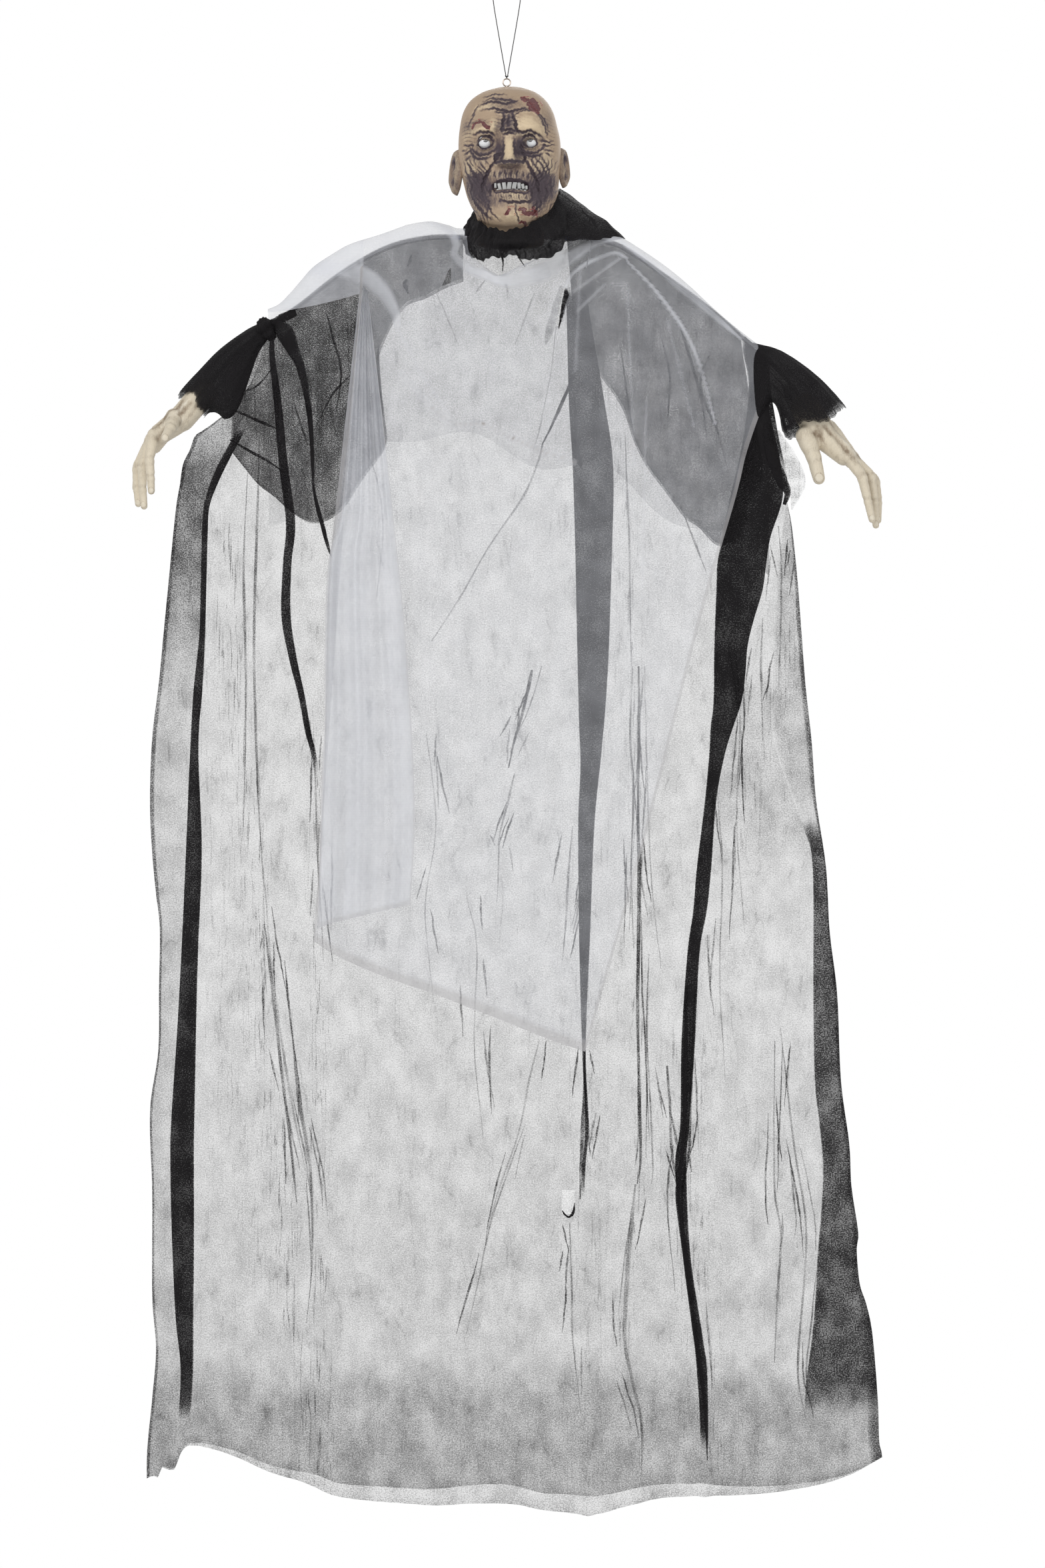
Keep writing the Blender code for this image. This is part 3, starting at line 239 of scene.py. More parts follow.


# Painted wrinkles: half width, depth and darkness, then points as x and depth
# below the crown. The darkness is the wash and painted shade in each groove,
# which also gets a painted highlight along its edge. The lids, which get a
# painted highlight, sores and their rims follow, all in mm.
STROKES = [
    (1.3, 2.1, 0.9, [(-42.1, 32.6), (-31.9, 28), (-19.5, 26.4), (-10.4, 29.2), (-1.4, 29.2), (9.9, 25.8)]),
    (1.4, 2.4, 1, [(-37.6, 38.2), (-24, 35.9), (-12.7, 38.2), (-3.6, 40.5), (3.2, 40.5), (16.7, 36.4),
         (25.8, 35.9)]),
    (1.2, 1.4, 0.9, [(-21.8, 22.4), (-10.4, 23.5), (-1.4, 24.6), (7.7, 25.8)]),
    (1.1, 1.4, 0.8, [(-19.5, 40.9), (-8.2, 43.2)]),
    (1.2, 1.2, 0.8, [(-35.3, 20.1), (-19.5, 15.6), (-3.6, 16.7)]),
    (1.1, 1, 0.7, [(-42.1, 29.2), (-44.4, 35.9), (-50, 47.3), (-55.7, 60.9)]),
    (1.1, 1, 0.6, [(-35.3, 25.8), (-26.3, 21.9), (-15, 20.6)]),
    (1.6, 2.6, 1, [(-7, 42.7), (-8.2, 51.8), (-9.3, 60.9), (-10.4, 67.6)]),
    (1.6, 2.6, 1, [(3.2, 42.7), (6.5, 51.8), (8.8, 60.9), (11.1, 68.8)]),
    (1.2, 1.6, 0.8, [(-1.4, 47.3), (-1.8, 58.6)]),
    (1.4, 2, 1, [(-10.4, 66.5), (-1.4, 64.9), (8.8, 67.2)]),
    (1.3, 1.8, 0.9, [(-9.3, 71), (-0.2, 69.5), (7.7, 70.4)]),
    (1.6, 2.2, 0.4, [(-50, 60.9), (-46.7, 54.1), (-39.9, 51.3), (-31.9, 52.9), (-25.1, 58.6)]),
    (1.5, 2, 1, [(-47.8, 69.9), (-37.6, 67.2), (-26.3, 68.8), (-19.5, 72.2)]),
    (1.4, 2.2, 1.1, [(-42.1, 81.2), (-39.9, 75.6), (-33.1, 72.6), (-25.1, 74.4), (-21.8, 80.1)]),
    (1.2, 1.6, 1.1, [(-41.4, 83.5), (-35.3, 88), (-27.4, 87.6), (-22.2, 83.5)]),
    (1.3, 1.8, 0.9, [(-50, 81.2), (-47.8, 90.3), (-37.6, 97.1), (-26.3, 94.8), (-17.2, 88)]),
    (1.3, 1.6, 0.9, [(-53.4, 85.8), (-46.7, 99.3), (-35.3, 102.7), (-24, 99.3)]),
    (1.2, 1.4, 0.7, [(-61.4, 81.2), (-55.7, 83.5), (-50, 83.5)]),
    (1.2, 1.4, 0.7, [(-63.6, 88), (-56.8, 89.1)]),
    (1.2, 1.4, 0.7, [(-61.4, 94.8), (-55.7, 92.5), (-51.2, 90.3)]),
    (1.2, 1.4, 0.7, [(-58, 101.6), (-53.4, 97.5)]),
    (1.4, 2.2, 1.1, [(16.7, 77.8), (20.1, 73.3), (26.9, 71.7), (33.7, 74.4), (36, 80.1)]),
    (1.2, 1.6, 1.1, [(17.9, 82.4), (23.5, 86.2), (30.3, 86.2), (35.3, 82.4)]),
    (1.3, 1.8, 0.9, [(13.3, 81.2), (16.7, 90.3), (28.1, 94.8), (39.4, 91.4), (46.2, 83.5)]),
    (1.3, 1.6, 0.9, [(16.7, 94.8), (30.3, 99.3), (43.9, 94.8)]),
    (1.2, 1.4, 0.8, [(39.4, 76.7), (48.4, 79), (57.5, 76.7)]),
    (1.2, 1.4, 0.8, [(41.6, 83.5), (50.7, 83.5), (58.6, 81.2)]),
    (1.2, 1.4, 0.7, [(43.9, 88), (53, 90.3), (59.7, 89.1)]),
    (1.2, 1.4, 0.7, [(46.2, 92.5), (55.2, 97.1)]),
    (1.5, 2.2, 1, [(6.5, 58.6), (9.9, 66.5), (16.7, 68.8), (25.8, 66.5), (37.1, 69.9), (46.2, 76.7)]),
    (1.2, 1.4, 0.8, [(5.4, 47.3), (9.9, 42.7), (23.5, 38.2), (34.8, 40.5), (43.9, 47.3), (48.4, 56.3),
         (51.8, 65.4)]),
    (1.1, 1.2, 0.7, [(34.8, 41.6), (42.1, 50.7), (48.4, 65.4), (49.8, 72.6)]),
    (1.5, 1.2, 0.9, [(-8.2, 76.7), (-8.2, 90.3), (-9.3, 101.6), (-10.4, 105)]),
    (1.5, 1.2, 0.9, [(5.4, 76.7), (6.5, 90.3), (7.7, 101.6)]),
    (1.3, 2, 1.2, [(-10.4, 97.5), (-15, 96.6), (-19, 99.8), (-19.5, 105.2), (-16.8, 108.8), (-12.2, 107.5)]),
    (1.3, 2, 1.2, [(9.9, 95.3), (14.9, 93.9), (19.5, 97.5), (20.4, 103.4), (17.2, 107.9), (10.8, 107.9)]),
    (1.2, 2.2, 1.3, [(-13.8, 108.8), (-10.9, 107.5), (-8.2, 108.8)]),
    (1.2, 2.2, 1.3, [(5.9, 109.3), (9, 107.5), (12.7, 108.8)]),
    (1.6, 1.8, 1.1, [(-10.4, 107.3), (-1.4, 108.8), (7.7, 107.3)]),
    (1.7, 3, 0.9, [(-13.8, 97.1), (-24, 112.9), (-33.1, 128.8), (-36.5, 142.3), (-35.3, 155.9)]),
    (1.7, 3, 0.9, [(16.7, 95.9), (25.8, 112.9), (34.8, 128.8), (38.2, 142.3), (39.4, 153.7)]),
    (1.2, 1.3, 0.6, [(-55.7, 106.1), (-48.9, 119.7), (-42.1, 133.3)]),
    (1.2, 1.3, 0.6, [(-58, 117.4), (-52.3, 128.8), (-46.7, 146.9)]),
    (1.2, 1.3, 0.6, [(-51.2, 146.9), (-44.4, 160.5), (-37.6, 169.5)]),
    (1.2, 1.4, 0.7, [(25.8, 101.6), (37.1, 115.2), (43.9, 128.8)]),
    (1.2, 1.4, 0.7, [(32.6, 99.3), (43.9, 112.9), (49.6, 126.5)]),
    (1.2, 1.3, 0.6, [(39.4, 97.1), (49.6, 110.7), (53, 124.2)]),
    (1.2, 1.3, 0.6, [(46.2, 131), (48.4, 144.6), (46.2, 158.2)]),
    (1.1, 1.2, 0.5, [(53, 128.8), (55.2, 142.3)]),
    (1.2, 1.4, 0.7, [(37.1, 137.8), (41.6, 151.4), (40.5, 167.2)]),
    (1, 1.2, 0.5, [(-19.5, 120.2), (-19.9, 128.3)]),
    (1, 1.2, 0.5, [(-12.7, 119.3), (-12.9, 128.3)]),
    (1, 1.2, 0.5, [(-5.9, 118.6), (-5.7, 127.6)]),
    (1, 1.2, 0.5, [(2, 118.6), (1.8, 127.6)]),
    (1, 1.2, 0.5, [(9.9, 119.3), (9.5, 127.9)]),
    (1, 1.2, 0.5, [(17.9, 120.2), (17.2, 128.8)]),
    (1, 1.2, 0.5, [(25.3, 121.5), (24, 129.7)]),
    (1.1, 1.2, 1, [(-21.8, 137.8), (-15, 133.3), (-3.6, 131), (9.9, 131.5), (21.3, 134.4), (26.9, 140.1)]),
    (1.1, 1.2, 1, [(-22.9, 142.3), (-17.2, 147.3), (-5.9, 146.9), (7.7, 147.3), (19, 148.7), (25.8, 145.7)]),
    (1.3, 2.2, 0.9, [(-22.9, 139), (-26.3, 144.6), (-25.1, 151.4)]),
    (1.3, 2.2, 0.9, [(26.9, 140.1), (30.3, 146.9), (29.2, 153.7)]),
    (1.4, 2, 1, [(-12.7, 158.2), (-1.4, 160.5), (12.2, 160.5), (25.8, 159.3), (30.3, 155.9)]),
    (1.2, 1.4, 0.7, [(-28.5, 158.2), (-26.3, 169.5), (-19.5, 178.6), (-10.4, 185.4)]),
    (1.2, 1.4, 0.7, [(37.1, 158.2), (34.8, 169.5), (30.3, 178.6)]),
    (1.1, 1.8, 0.9, [(7.7, 165), (8.8, 174), (11.1, 182), (13.3, 188.8)]),
    (1.2, 1.2, 0.6, [(-48.9, 151.4), (-42.1, 165), (-30.8, 176.3), (-19.5, 185.4)]),
    (1, 1, 0.5, [(-10.4, 151.4), (-9.3, 155.5)]),
    (1, 1, 0.5, [(0.9, 150.9), (1.3, 155.9)]),
    (1, 1, 0.5, [(12.2, 151.4), (12.2, 156.4)]),
    (1, 1, 0.5, [(22.4, 151.4), (21.7, 155.5)])]
LIDS = [
    (1.9, 7.4, [(-43.5, 84.8), (-40.8, 79), (-33.1, 75.3), (-25.4, 77.6), (-20.8, 83.9)]),
    (1.6, 6.2, [(-42.6, 85.3), (-35.8, 89.6), (-28.1, 89.1), (-21.3, 84.8)]),
    (1.9, 7.4, [(14.9, 82.6), (19, 76.7), (26.7, 74), (33.9, 76.7), (37.6, 82.6)]),
    (1.6, 6.2, [(15.8, 83.5), (22.6, 88), (30.3, 88), (37.1, 83.5)])]
SORES = [
    (1.6, [(-49.4, 62), (-45.5, 55.2), (-39.9, 53.6), (-33.1, 56.3)]),
    (2.6, [(-34.2, 58.6), (-30.4, 60.9), (-28.1, 62.2)]),
    (3, [(16.7, 22.4), (22.4, 23.5)]),
    (5.6, [(30.8, 26.4), (34.8, 34.1)]),
    (2.4, [(24.9, 29.2), (28.5, 35.9), (37.1, 40.9)]),
    (2.8, [(-3.6, 175.2), (-0.9, 172.2)]),
    (1.8, [(12.2, 170.9), (20.8, 169.5)]),
    (2.6, [(18.1, 174), (27.1, 175.4), (34.8, 174)]),
    (1.8, [(14.9, 185.8), (21.3, 188.1)]),
    (1.6, [(30.8, 167.2), (33.9, 171.3)])]
SORE_RIMS = [
    (0.9, [(-50.7, 63.6), (-47.6, 54.5), (-40.3, 50.7), (-33.5, 51.8), (-24.5, 54.5), (-24, 60.9),
         (-27.2, 65.4)]),
    (0.9, [(15.8, 20.6), (25.8, 18.3), (33.5, 19), (40.7, 25.8), (44.8, 33.7), (42.1, 39.6), (34.8, 41.6),
         (27.1, 35.9), (22.2, 28.3), (15.8, 25.5)]),
    (1, [(-0.5, 166.8), (5.9, 167.7), (7.2, 174), (5, 179), (-3.6, 179.5), (-7.7, 175.4), (-5.5, 169.5),
         (-0.5, 166.8)]),
    (0.8, [(9.9, 169.1), (16.7, 166.8), (25.8, 170.4), (37.1, 169.5), (36.7, 177.2), (25.8, 179.5),
         (14, 177.2)]),
    (0.8, [(12.2, 188.1), (18.1, 184.9), (24, 189.4)])]


def line_distance(points, x, d, reach):
    """Which points lie near a smooth line, how far off, and where along it."""
    line = 0.001 * smooth_line(points, 5)
    near = np.nonzero((x > line[:, 0].min() - reach) & (x < line[:, 0].max() + reach)
                      & (d > line[:, 1].min() - reach) & (d < line[:, 1].max() + reach))[0]
    best = np.full(len(near), 1.0)
    place = np.zeros(len(near))
    for k, (a, b) in enumerate(zip(line, line[1:])):
        run = b - a
        t = np.clip(((x[near] - a[0]) * run[0] + (d[near] - a[1]) * run[1]) / (run @ run), 0, 1)
        off = np.hypot(x[near] - a[0] - t * run[0], d[near] - a[1] - t * run[1])
        place = np.where(off < best, (k + t) / (len(line) - 1), place)
        best = np.minimum(best, off)
    return near, best, place


def head_surface(s, turn):
    """Points of the head's skin with its paint masks: wash with painted shade, paler paint with painted
    highlights, sore and rim.
    """
    rings = [np.interp(s * 16, np.arange(len(HEAD_RINGS)), HEAD_RINGS[:, k]) for k in range(6)]
    front, back, left, right, reach, behind = rings
    across, ahead = np.sin(turn), np.cos(turn)
    d = (front + back) / 2 + (front - back) / 2 * ahead
    x = np.where(across > 0, right, left) * np.abs(across) ** 0.92 * np.sign(across)
    y = -np.where(ahead > 0, reach, behind) * np.abs(ahead) ** 0.92 * np.sign(ahead)
    face = ease(ahead * 1.8) * ease((15.6 - s) / 0.9)
    height = face_forms(x, d)
    wash, light, sore, rim = (np.zeros_like(x) for _ in range(4))
    warp_x = x + 0.00060 * np.sin(d * 510 + 2.1 * np.sin(x * 260)) + 0.00040 * np.sin(d * 1130 + x * 700)
    warp_d = d + 0.00060 * np.sin(x * 470 + 1.7 * np.sin(d * 300)) + 0.00040 * np.sin(x * 1210 - d * 500)
    for wide, high, points in LIDS:
        wide, high = 0.001 * wide, 0.001 * high
        near, off, place = line_distance(points, x, d, 0.008)
        along = np.sqrt(np.sin(np.pi * np.clip(place, 0.02, 0.98)))
        height[near] += high * along * np.exp(-(off / wide) ** 2)
        # Painted highlight along each lid.
        light[near] += 0.35 * np.exp(-(off / wide) ** 2)
    for wide, deep, dark_wash_and_shade, points in STROKES:
        wide, deep = 0.00078 * wide, 0.001 * deep
        near, off, place = line_distance(points, warp_x, warp_d, 0.008)
        fade = np.sqrt(np.sin(np.pi * np.clip(place, 0.05, 0.95)))
        height[near] -= deep * 0.75 * fade * np.exp(-(off / wide) ** 2)
        height[near] += deep * 0.28 * fade * np.exp(-((off - 2.3 * wide) / wide) ** 2)
        # Wash and painted shade in the groove, painted highlight along its edge.
        wash[near] += dark_wash_and_shade * fade * np.exp(-(off / (1.35 * wide)) ** 2)
        light[near] += 0.35 * dark_wash_and_shade * fade * np.exp(-((off - 2.9 * wide) / (1.3 * wide)) ** 2)
    for wide, points in SORES:
        near, off, place = line_distance(points, warp_x, warp_d, 0.010)
        mark = ease((1.25 - 1000 * off / wide) / 0.5)
        sore[near] = np.maximum(sore[near], mark)
        height[near] -= 0.0012 * mark
    for wide, points in SORE_RIMS:
        near, off, place = line_distance(points, warp_x + 0.0006 * np.sin(warp_d * 1900), warp_d, 0.006)
        ridge = (0.55 + 0.45 * np.sin(place * 21)) * np.exp(-(1000 * off / wide) ** 2)
        rim[near] = np.maximum(rim[near], ridge)
        height[near] += 0.0011 * ridge
    # Broad patches of wash that are also painted shade: eye sockets, between the brows, beside and under the
    # nose, the open mouth, cheeks, temples and chin.
    for a, b, wide, tall, strength in (
            (-33.1, 83.5, 17, 13, 0.62), (25.8, 82.4, 17, 13, 0.62), (-1.4, 56.3, 10, 16, 0.7),
            (-13.8, 92.5, 6, 16, 0.75), (12.2, 90.3, 6, 16, 0.7), (0.9, 114, 20, 10, 0.62),
            (3.2, 161.6, 30, 8, 0.35), (-42.1, 137.8, 12, 24, 0.38), (43.9, 140.1, 12, 26, 0.38),
            (-58, 58.6, 12, 14, 0.42), (-7, 29.2, 32, 11, 0.45), (50.7, 49.5, 12, 16, 0.35),
            (-28.5, 162.7, 16, 12, 0.4), (34.8, 155.9, 10, 16, 0.35), (-44.4, 99.3, 20, 8, 0.3),
            (30.3, 99.3, 22, 8, 0.3), (3.2, 137.8, 26, 6, 0.9), (-16.1, 60.9, 6, 12, 0.45)):
        wash += strength * hill(1000 * x - a, 1000 * d - b, wide, tall)
    # Broad painted highlights over paler paint on the raised forms: brows, forehead, nose bridge, tip and
    # wings, cheeks, lips and chin.
    for a, b, wide, tall, strength in (
            (23.5, 56.3, 15, 11, 0.9), (-19.9, 58.6, 6, 9, 0.8), (-0.5, 92.5, 6.2, 20, 1),
            (-1.4, 102.1, 8, 8, 0.8), (-30.8, 33.7, 18, 5, 0.5), (-35.3, 64.2, 12, 4, 0.7),
            (-53.4, 112.9, 12, 16, 0.5), (46.2, 106.1, 14, 18, 0.6), (-3.6, 124.2, 28, 6, 0.6),
            (7.7, 153.7, 24, 6, 0.7), (3.2, 180.8, 20, 8, 0.6), (-56.8, 69.9, 10, 12, 0.5),
            (37.1, 65.4, 12, 8, 0.6), (-35.3, 126.5, 6, 16, 0.4), (36, 137.8, 6, 18, 0.4),
            (-14.5, 103, 3.6, 4.2, 1.1), (14.5, 101.1, 4, 4.6, 1.1)):
        light += strength * hill(1000 * x - a, 1000 * d - b, wide, tall)
    streaks = (np.sin(x * 1450 + 9 * np.sin(d * 160)) * np.sin(d * 620 + 4 * np.sin(x * 330))
               + 0.6 * np.sin(x * 2600 + d * 900) * np.sin(d * 410 + x * 700))
    low = ease((d - 0.092) / 0.02) * ease((np.abs(x) - 0.021) / 0.012)
    sag = np.abs(np.sin(600 * (0.93 * np.abs(x) + 0.37 * d) + 1.6 * np.sin(d * 130 + x * 60)
                        + 0.9 * np.sin(d * 310 - x * 200)))
    patch = 0.55 + 0.45 * np.sin(d * 190 + x * 90 + 2 * np.sin(x * 140))
    line = np.exp(-(sag / 0.34) ** 2) * low * patch
    purse = np.abs(np.sin(930 * x + 1.3 * np.sin(d * 260)))
    line += 0.45 * np.exp(-(purse / 0.36) ** 2) * np.clip(hill(x, d - 0.1275, 0.026, 0.0085)
                                                         + hill(x, d - 0.1535, 0.024, 0.0055), 0, 1)
    temple = np.abs(np.sin(640 * (d - 0.10 * np.abs(x)) + 1.4 * np.sin(x * 190)))
    line += 0.6 * np.exp(-(temple / 0.34) ** 2) * (hill(np.abs(x) - 0.056, d - 0.078, 0.010, 0.020)
                                                   + 0.7 * hill(x, d - 0.052, 0.045, 0.010))
    height += 0.00022 * streaks * (0.3 + low) - 0.0011 * line + 0.0005 * low * sag * patch
    chin = 0.34 * ease((d - 0.116) / 0.008) * ease((0.165 - d) / 0.02)
    # Wash and painted shade in the sag, purse and temple lines and over the lower face and chin, with a
    # painted highlight on the folds between the sag lines.
    wash += 0.10 * np.clip(streaks, -1, 1) * (0.25 + low) + 0.20 * low + 0.85 * line + chin
    light += 0.45 * low * np.clip(sag - 0.45, 0, 1)
    y = y - height * face
    paint = {"wash": np.clip(wash, 0, 2) * face + 0.10 * (1 - face), "light": np.clip(light, 0, 1) * face,
             "sore": sore * face, "rim": rim * face}
    return np.stack([HEAD_X + x, y, CROWN_Z - d], axis=1), paint


def vertex_rows(mesh, key):
    """The vertices' places or normals, as rows of x, y and z."""
    values = np.empty(len(mesh.vertices) * 3, np.float32)
    mesh.vertices.foreach_get(key, values)
    return values.reshape(-1, 3)


def formed_grid(name, columns, rows, place, mat, weld=True):
    """A grid formed by a function that gives points, UV in metres and masks."""
    bpy.ops.object.select_all(action='DESELECT')
    bpy.ops.mesh.primitive_grid_add(x_subdivisions=columns - 1, y_subdivisions=rows - 1, size=1)
    obj = bpy.context.object
    obj.name = name
    mesh = obj.data
    mesh.name = name
    co = vertex_rows(mesh, "co")
    i = np.rint((co[:, 0] + 0.5) * (columns - 1)).astype(int)
    j = np.rint((0.5 - co[:, 1]) * (rows - 1)).astype(int)
    p, uv, masks = place(i, j)
    mesh.vertices.foreach_set("co", p.astype(np.float32).ravel())
    for key, values in masks.items():
        layer = mesh.attributes.new(key, 'FLOAT', 'POINT')
        layer.data.foreach_set("value", np.asarray(values, np.float32))
    loops = np.empty(len(mesh.loops), np.int32)
    mesh.loops.foreach_get("vertex_index", loops)
    mesh.uv_layers[0].data.foreach_set("uv", uv[loops].astype(np.float32).ravel())
    mesh.materials.append(mat)
    if weld:
        bpy.ops.object.mode_set(mode='EDIT')
        bpy.ops.mesh.select_all(action='SELECT')
        bpy.ops.mesh.remove_doubles(threshold=0.00002)
        bpy.ops.mesh.normals_make_consistent(inside=False)
        bpy.ops.object.mode_set(mode='OBJECT')
    bpy.ops.object.shade_smooth()
    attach(obj, "root")
    return obj


def add_node(tree, kind, values=()):
    """A shader node whose inputs are set to values or fed by other sockets."""
    node = tree.nodes.new(kind)
    for socket, value in values:
        if isinstance(value, bpy.types.NodeSocket):
            tree.links.new(value, node.inputs[socket])
        else:
            node.inputs[socket].default_value = value
    return node


def math_node(tree, kind, a, b=None, limit=False):
    node = add_node(tree, "ShaderNodeMath", [(0, a)] if b is None else [(0, a), (1, b)])
    node.operation = kind
    node.use_clamp = limit
    return node.outputs[0]


def mask_node(tree, name):
    mask = tree.nodes.new("ShaderNodeAttribute")
    mask.attribute_name = name
    return mask.outputs["Fac"]


def paint_over(tree, below, color, amount):
    """One coat of paint over another, laid where the amount is high."""
    coat = tree.nodes.new("ShaderNodeMix")
    coat.data_type = 'RGBA'
    tree.links.new(amount, coat.inputs["Factor"])
    if isinstance(below, tuple):
        coat.inputs[6].default_value = (*below, 1)
    else:
        tree.links.new(below, coat.inputs[6])
    coat.inputs[7].default_value = (*color, 1)
    return coat.outputs[2]


def rubbed(tree, mask, scale, stretch, low, high):
    """A mask broken up by brushed, cloudy noise."""
    where = tree.nodes.new("ShaderNodeTexCoord")
    longer = add_node(tree, "ShaderNodeMapping", [("Vector", where.outputs["Object"]), ("Scale", stretch)])
    noise = add_node(tree, "ShaderNodeTexNoise", [("Vector", longer.outputs[0]), ("Scale", scale),
                                                  ("Detail", 5.0), ("Roughness", 0.65)])
    mixed = math_node(tree, 'ADD', mask, noise.outputs[0])
    edge = add_node(tree, "ShaderNodeMapRange", [("Value", mixed), ("From Min", low), ("From Max", high)])
    edge.interpolation_type = 'SMOOTHSTEP'
    return edge.outputs[0]


def add_relief(tree, height, strength, depth):
    """Fine relief on the material's surface."""
    rise = add_node(tree, "ShaderNodeBump", [("Height", height), ("Strength", strength), ("Distance", depth)])
    tree.links.new(rise.outputs[0], tree.nodes["Principled BSDF"].inputs["Normal"])


def painted_skin(name, base, pale, dark_wash_and_shade, rough, bump_size):
    mat = plain_material(name, base, rough)
    tree = mat.node_tree
    shader = tree.nodes["Principled BSDF"]
    # Paler paint and painted highlights where the highlight mask is high, then the dark wash and painted
    # shade, darkest in the deepest wrinkles.
    coat = paint_over(tree, base, pale, rubbed(tree, mask_node(tree, "light"), 120.0, (1, 1, 1), 0.62, 1.35))
    wash_and_shade_amount = rubbed(tree, mask_node(tree, "wash"), 150.0, (1.6, 1.6, 0.7), 0.62, 1.42)
    coat = paint_over(tree, coat, dark_wash_and_shade, wash_and_shade_amount)
    deepest_wash_and_shade = rubbed(tree, mask_node(tree, "wash"), 480.0, (1.4, 1.4, 0.8), 0.50, 1.9)
    coat = paint_over(tree, coat, tuple(0.55 * c for c in dark_wash_and_shade), deepest_wash_and_shade)
    tree.links.new(coat, shader.inputs["Base Color"])
    where = tree.nodes.new("ShaderNodeTexCoord")
    pores = add_node(tree, "ShaderNodeTexNoise", [("Vector", where.outputs["Object"]), ("Scale", bump_size),
                                                  ("Detail", 6.0), ("Roughness", 0.62)])
    add_relief(tree, pores.outputs[0], 0.45, 0.0007)
    worn = add_node(tree, "ShaderNodeMapRange", [("Value", pores.outputs[0]), ("To Min", rough - 0.12),
                                                 ("To Max", rough + 0.2)])
    tree.links.new(worn.outputs[0], shader.inputs["Roughness"])
    shader.inputs["Specular IOR Level"].default_value = 0.35
    return mat, coat


# Tan paint, a pale cream for the paler paint and painted highlights, and a dark purple-grey for the wash and
# painted shade.
head_paint, head_coat = painted_skin("painted head", (0.44, 0.325, 0.225), (0.70, 0.56, 0.38),
                                     (0.085, 0.060, 0.075), 0.55, 260.0)
tree = head_paint.node_tree
shader = tree.nodes["Principled BSDF"]
sore = rubbed(tree, mask_node(tree, "sore"), 300.0, (1, 1, 1), 0.75, 1.05)
head_coat = paint_over(tree, head_coat, (0.085, 0.008, 0.010), sore)
raw = rubbed(tree, mask_node(tree, "sore"), 420.0, (1, 1, 1), 1.48, 1.75)
head_coat = paint_over(tree, head_coat, (0.26, 0.07, 0.06), raw)
lip = rubbed(tree, mask_node(tree, "rim"), 260.0, (1, 1, 1), 0.95, 1.45)
head_coat = paint_over(tree, head_coat, (0.30, 0.055, 0.052), lip)
tree.links.new(head_coat, shader.inputs["Base Color"])
wet = math_node(tree, 'MAXIMUM', sore, lip)
gloss = add_node(tree, "ShaderNodeMapRange", [("Value", wet), ("To Min", 0.0), ("To Max", 0.6)])
tree.links.new(gloss.outputs[0], shader.inputs["Coat Weight"])
shader.inputs["Coat Roughness"].default_value = 0.15


def head_place(i, j):
    t = 2 * i / (HEAD_SIDES - 1) - 1
    turn = np.pi * (0.45 * t + 0.55 * t ** 3)
    s = RING_PLACES[j]
    p, paint = head_surface(s, turn)
    return p, np.stack([turn * 0.06, p[:, 2]], axis=1), paint


head = formed_grid("head_skin", HEAD_SIDES, len(RING_PLACES), head_place, head_paint)
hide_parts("head")

# Ears. Part of the same moulding: a rolled rim, an inner ridge, a hollow and a
# lobe, with the dark wash and painted shade in the hollow and a painted
# highlight on the rolled rim.
def ear(name, middle_x, middle_z, side, tall, lean):
    def place(i, j):
        around = 2 * np.pi * i / 95
        r = j / 39
        rim = 1.0 + 0.10 * np.cos(around - 0.4) + 0.05 * np.cos(2 * around)
        lobe = 1 - 0.22 * ease((-np.sin(around) - 0.35) / 0.6)
        u = r * np.cos(around) * rim * lobe
        v = r * np.sin(around) * rim
        dome = 0.0062 * np.sqrt(np.clip(1 - r ** 4, 0, 1))
        roll = 0.0040 * np.exp(-((r - 0.86) / 0.11) ** 2) * (0.5 + 0.5 * ease((np.sin(around) + 0.9) / 0.6))
        inner = 0.0026 * np.exp(-((r - 0.55 - 0.08 * np.sin(around)) / 0.10) ** 2)
        inner *= ease((np.cos(around) + 0.7) / 0.6)
        hollow = 0.0085 * hill(u + 0.28, v + 0.02, 0.26, 0.36) + 0.0035 * hill(u - 0.1, v - 0.42, 0.32, 0.14)
        flap = 0.0030 * hill(u + 0.72, v + 0.08, 0.14, 0.14)
        out = dome + roll + inner - hollow + flap
        # Dark wash and painted shade in the hollow, painted highlight on the rolled rim.
        wash = 1.5 * hill(u + 0.26, v, 0.30, 0.40) + 0.9 * hill(u - 0.1, v - 0.44, 0.36, 0.16) + 0.42
        x = side * (out - 0.0010)
        y = u * 0.0175 + 0.004 * v
        z = v * tall - 0.10 * out
        turned_x = x * np.cos(lean) - side * z * np.sin(lean)
        turned_z = z * np.cos(lean) + side * x * np.sin(lean)
        spread = side * 0.26 * (y + 0.010)
        return (np.stack([middle_x + turned_x + spread, y + 0.006, middle_z + turned_z], axis=1),
                np.stack([u * 0.02, v * 0.03], axis=1),
                {"wash": wash, "light": 0.7 * np.exp(-((r - 0.86) / 0.1) ** 2), "sore": 0 * r, "rim": 0 * r})

    obj = formed_grid(name, 96, 40, place, head_paint)
    thick = obj.modifiers.new("moulded wall", 'SOLIDIFY')
    thick.thickness = 0.0030
    thick.offset = -side
    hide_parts("head")
    return obj


ear("ear_left", -0.060, -0.254, -1, 0.0305, 0.12)
ear("ear_right", 0.070, -0.248, 1, 0.0290, 0.12)

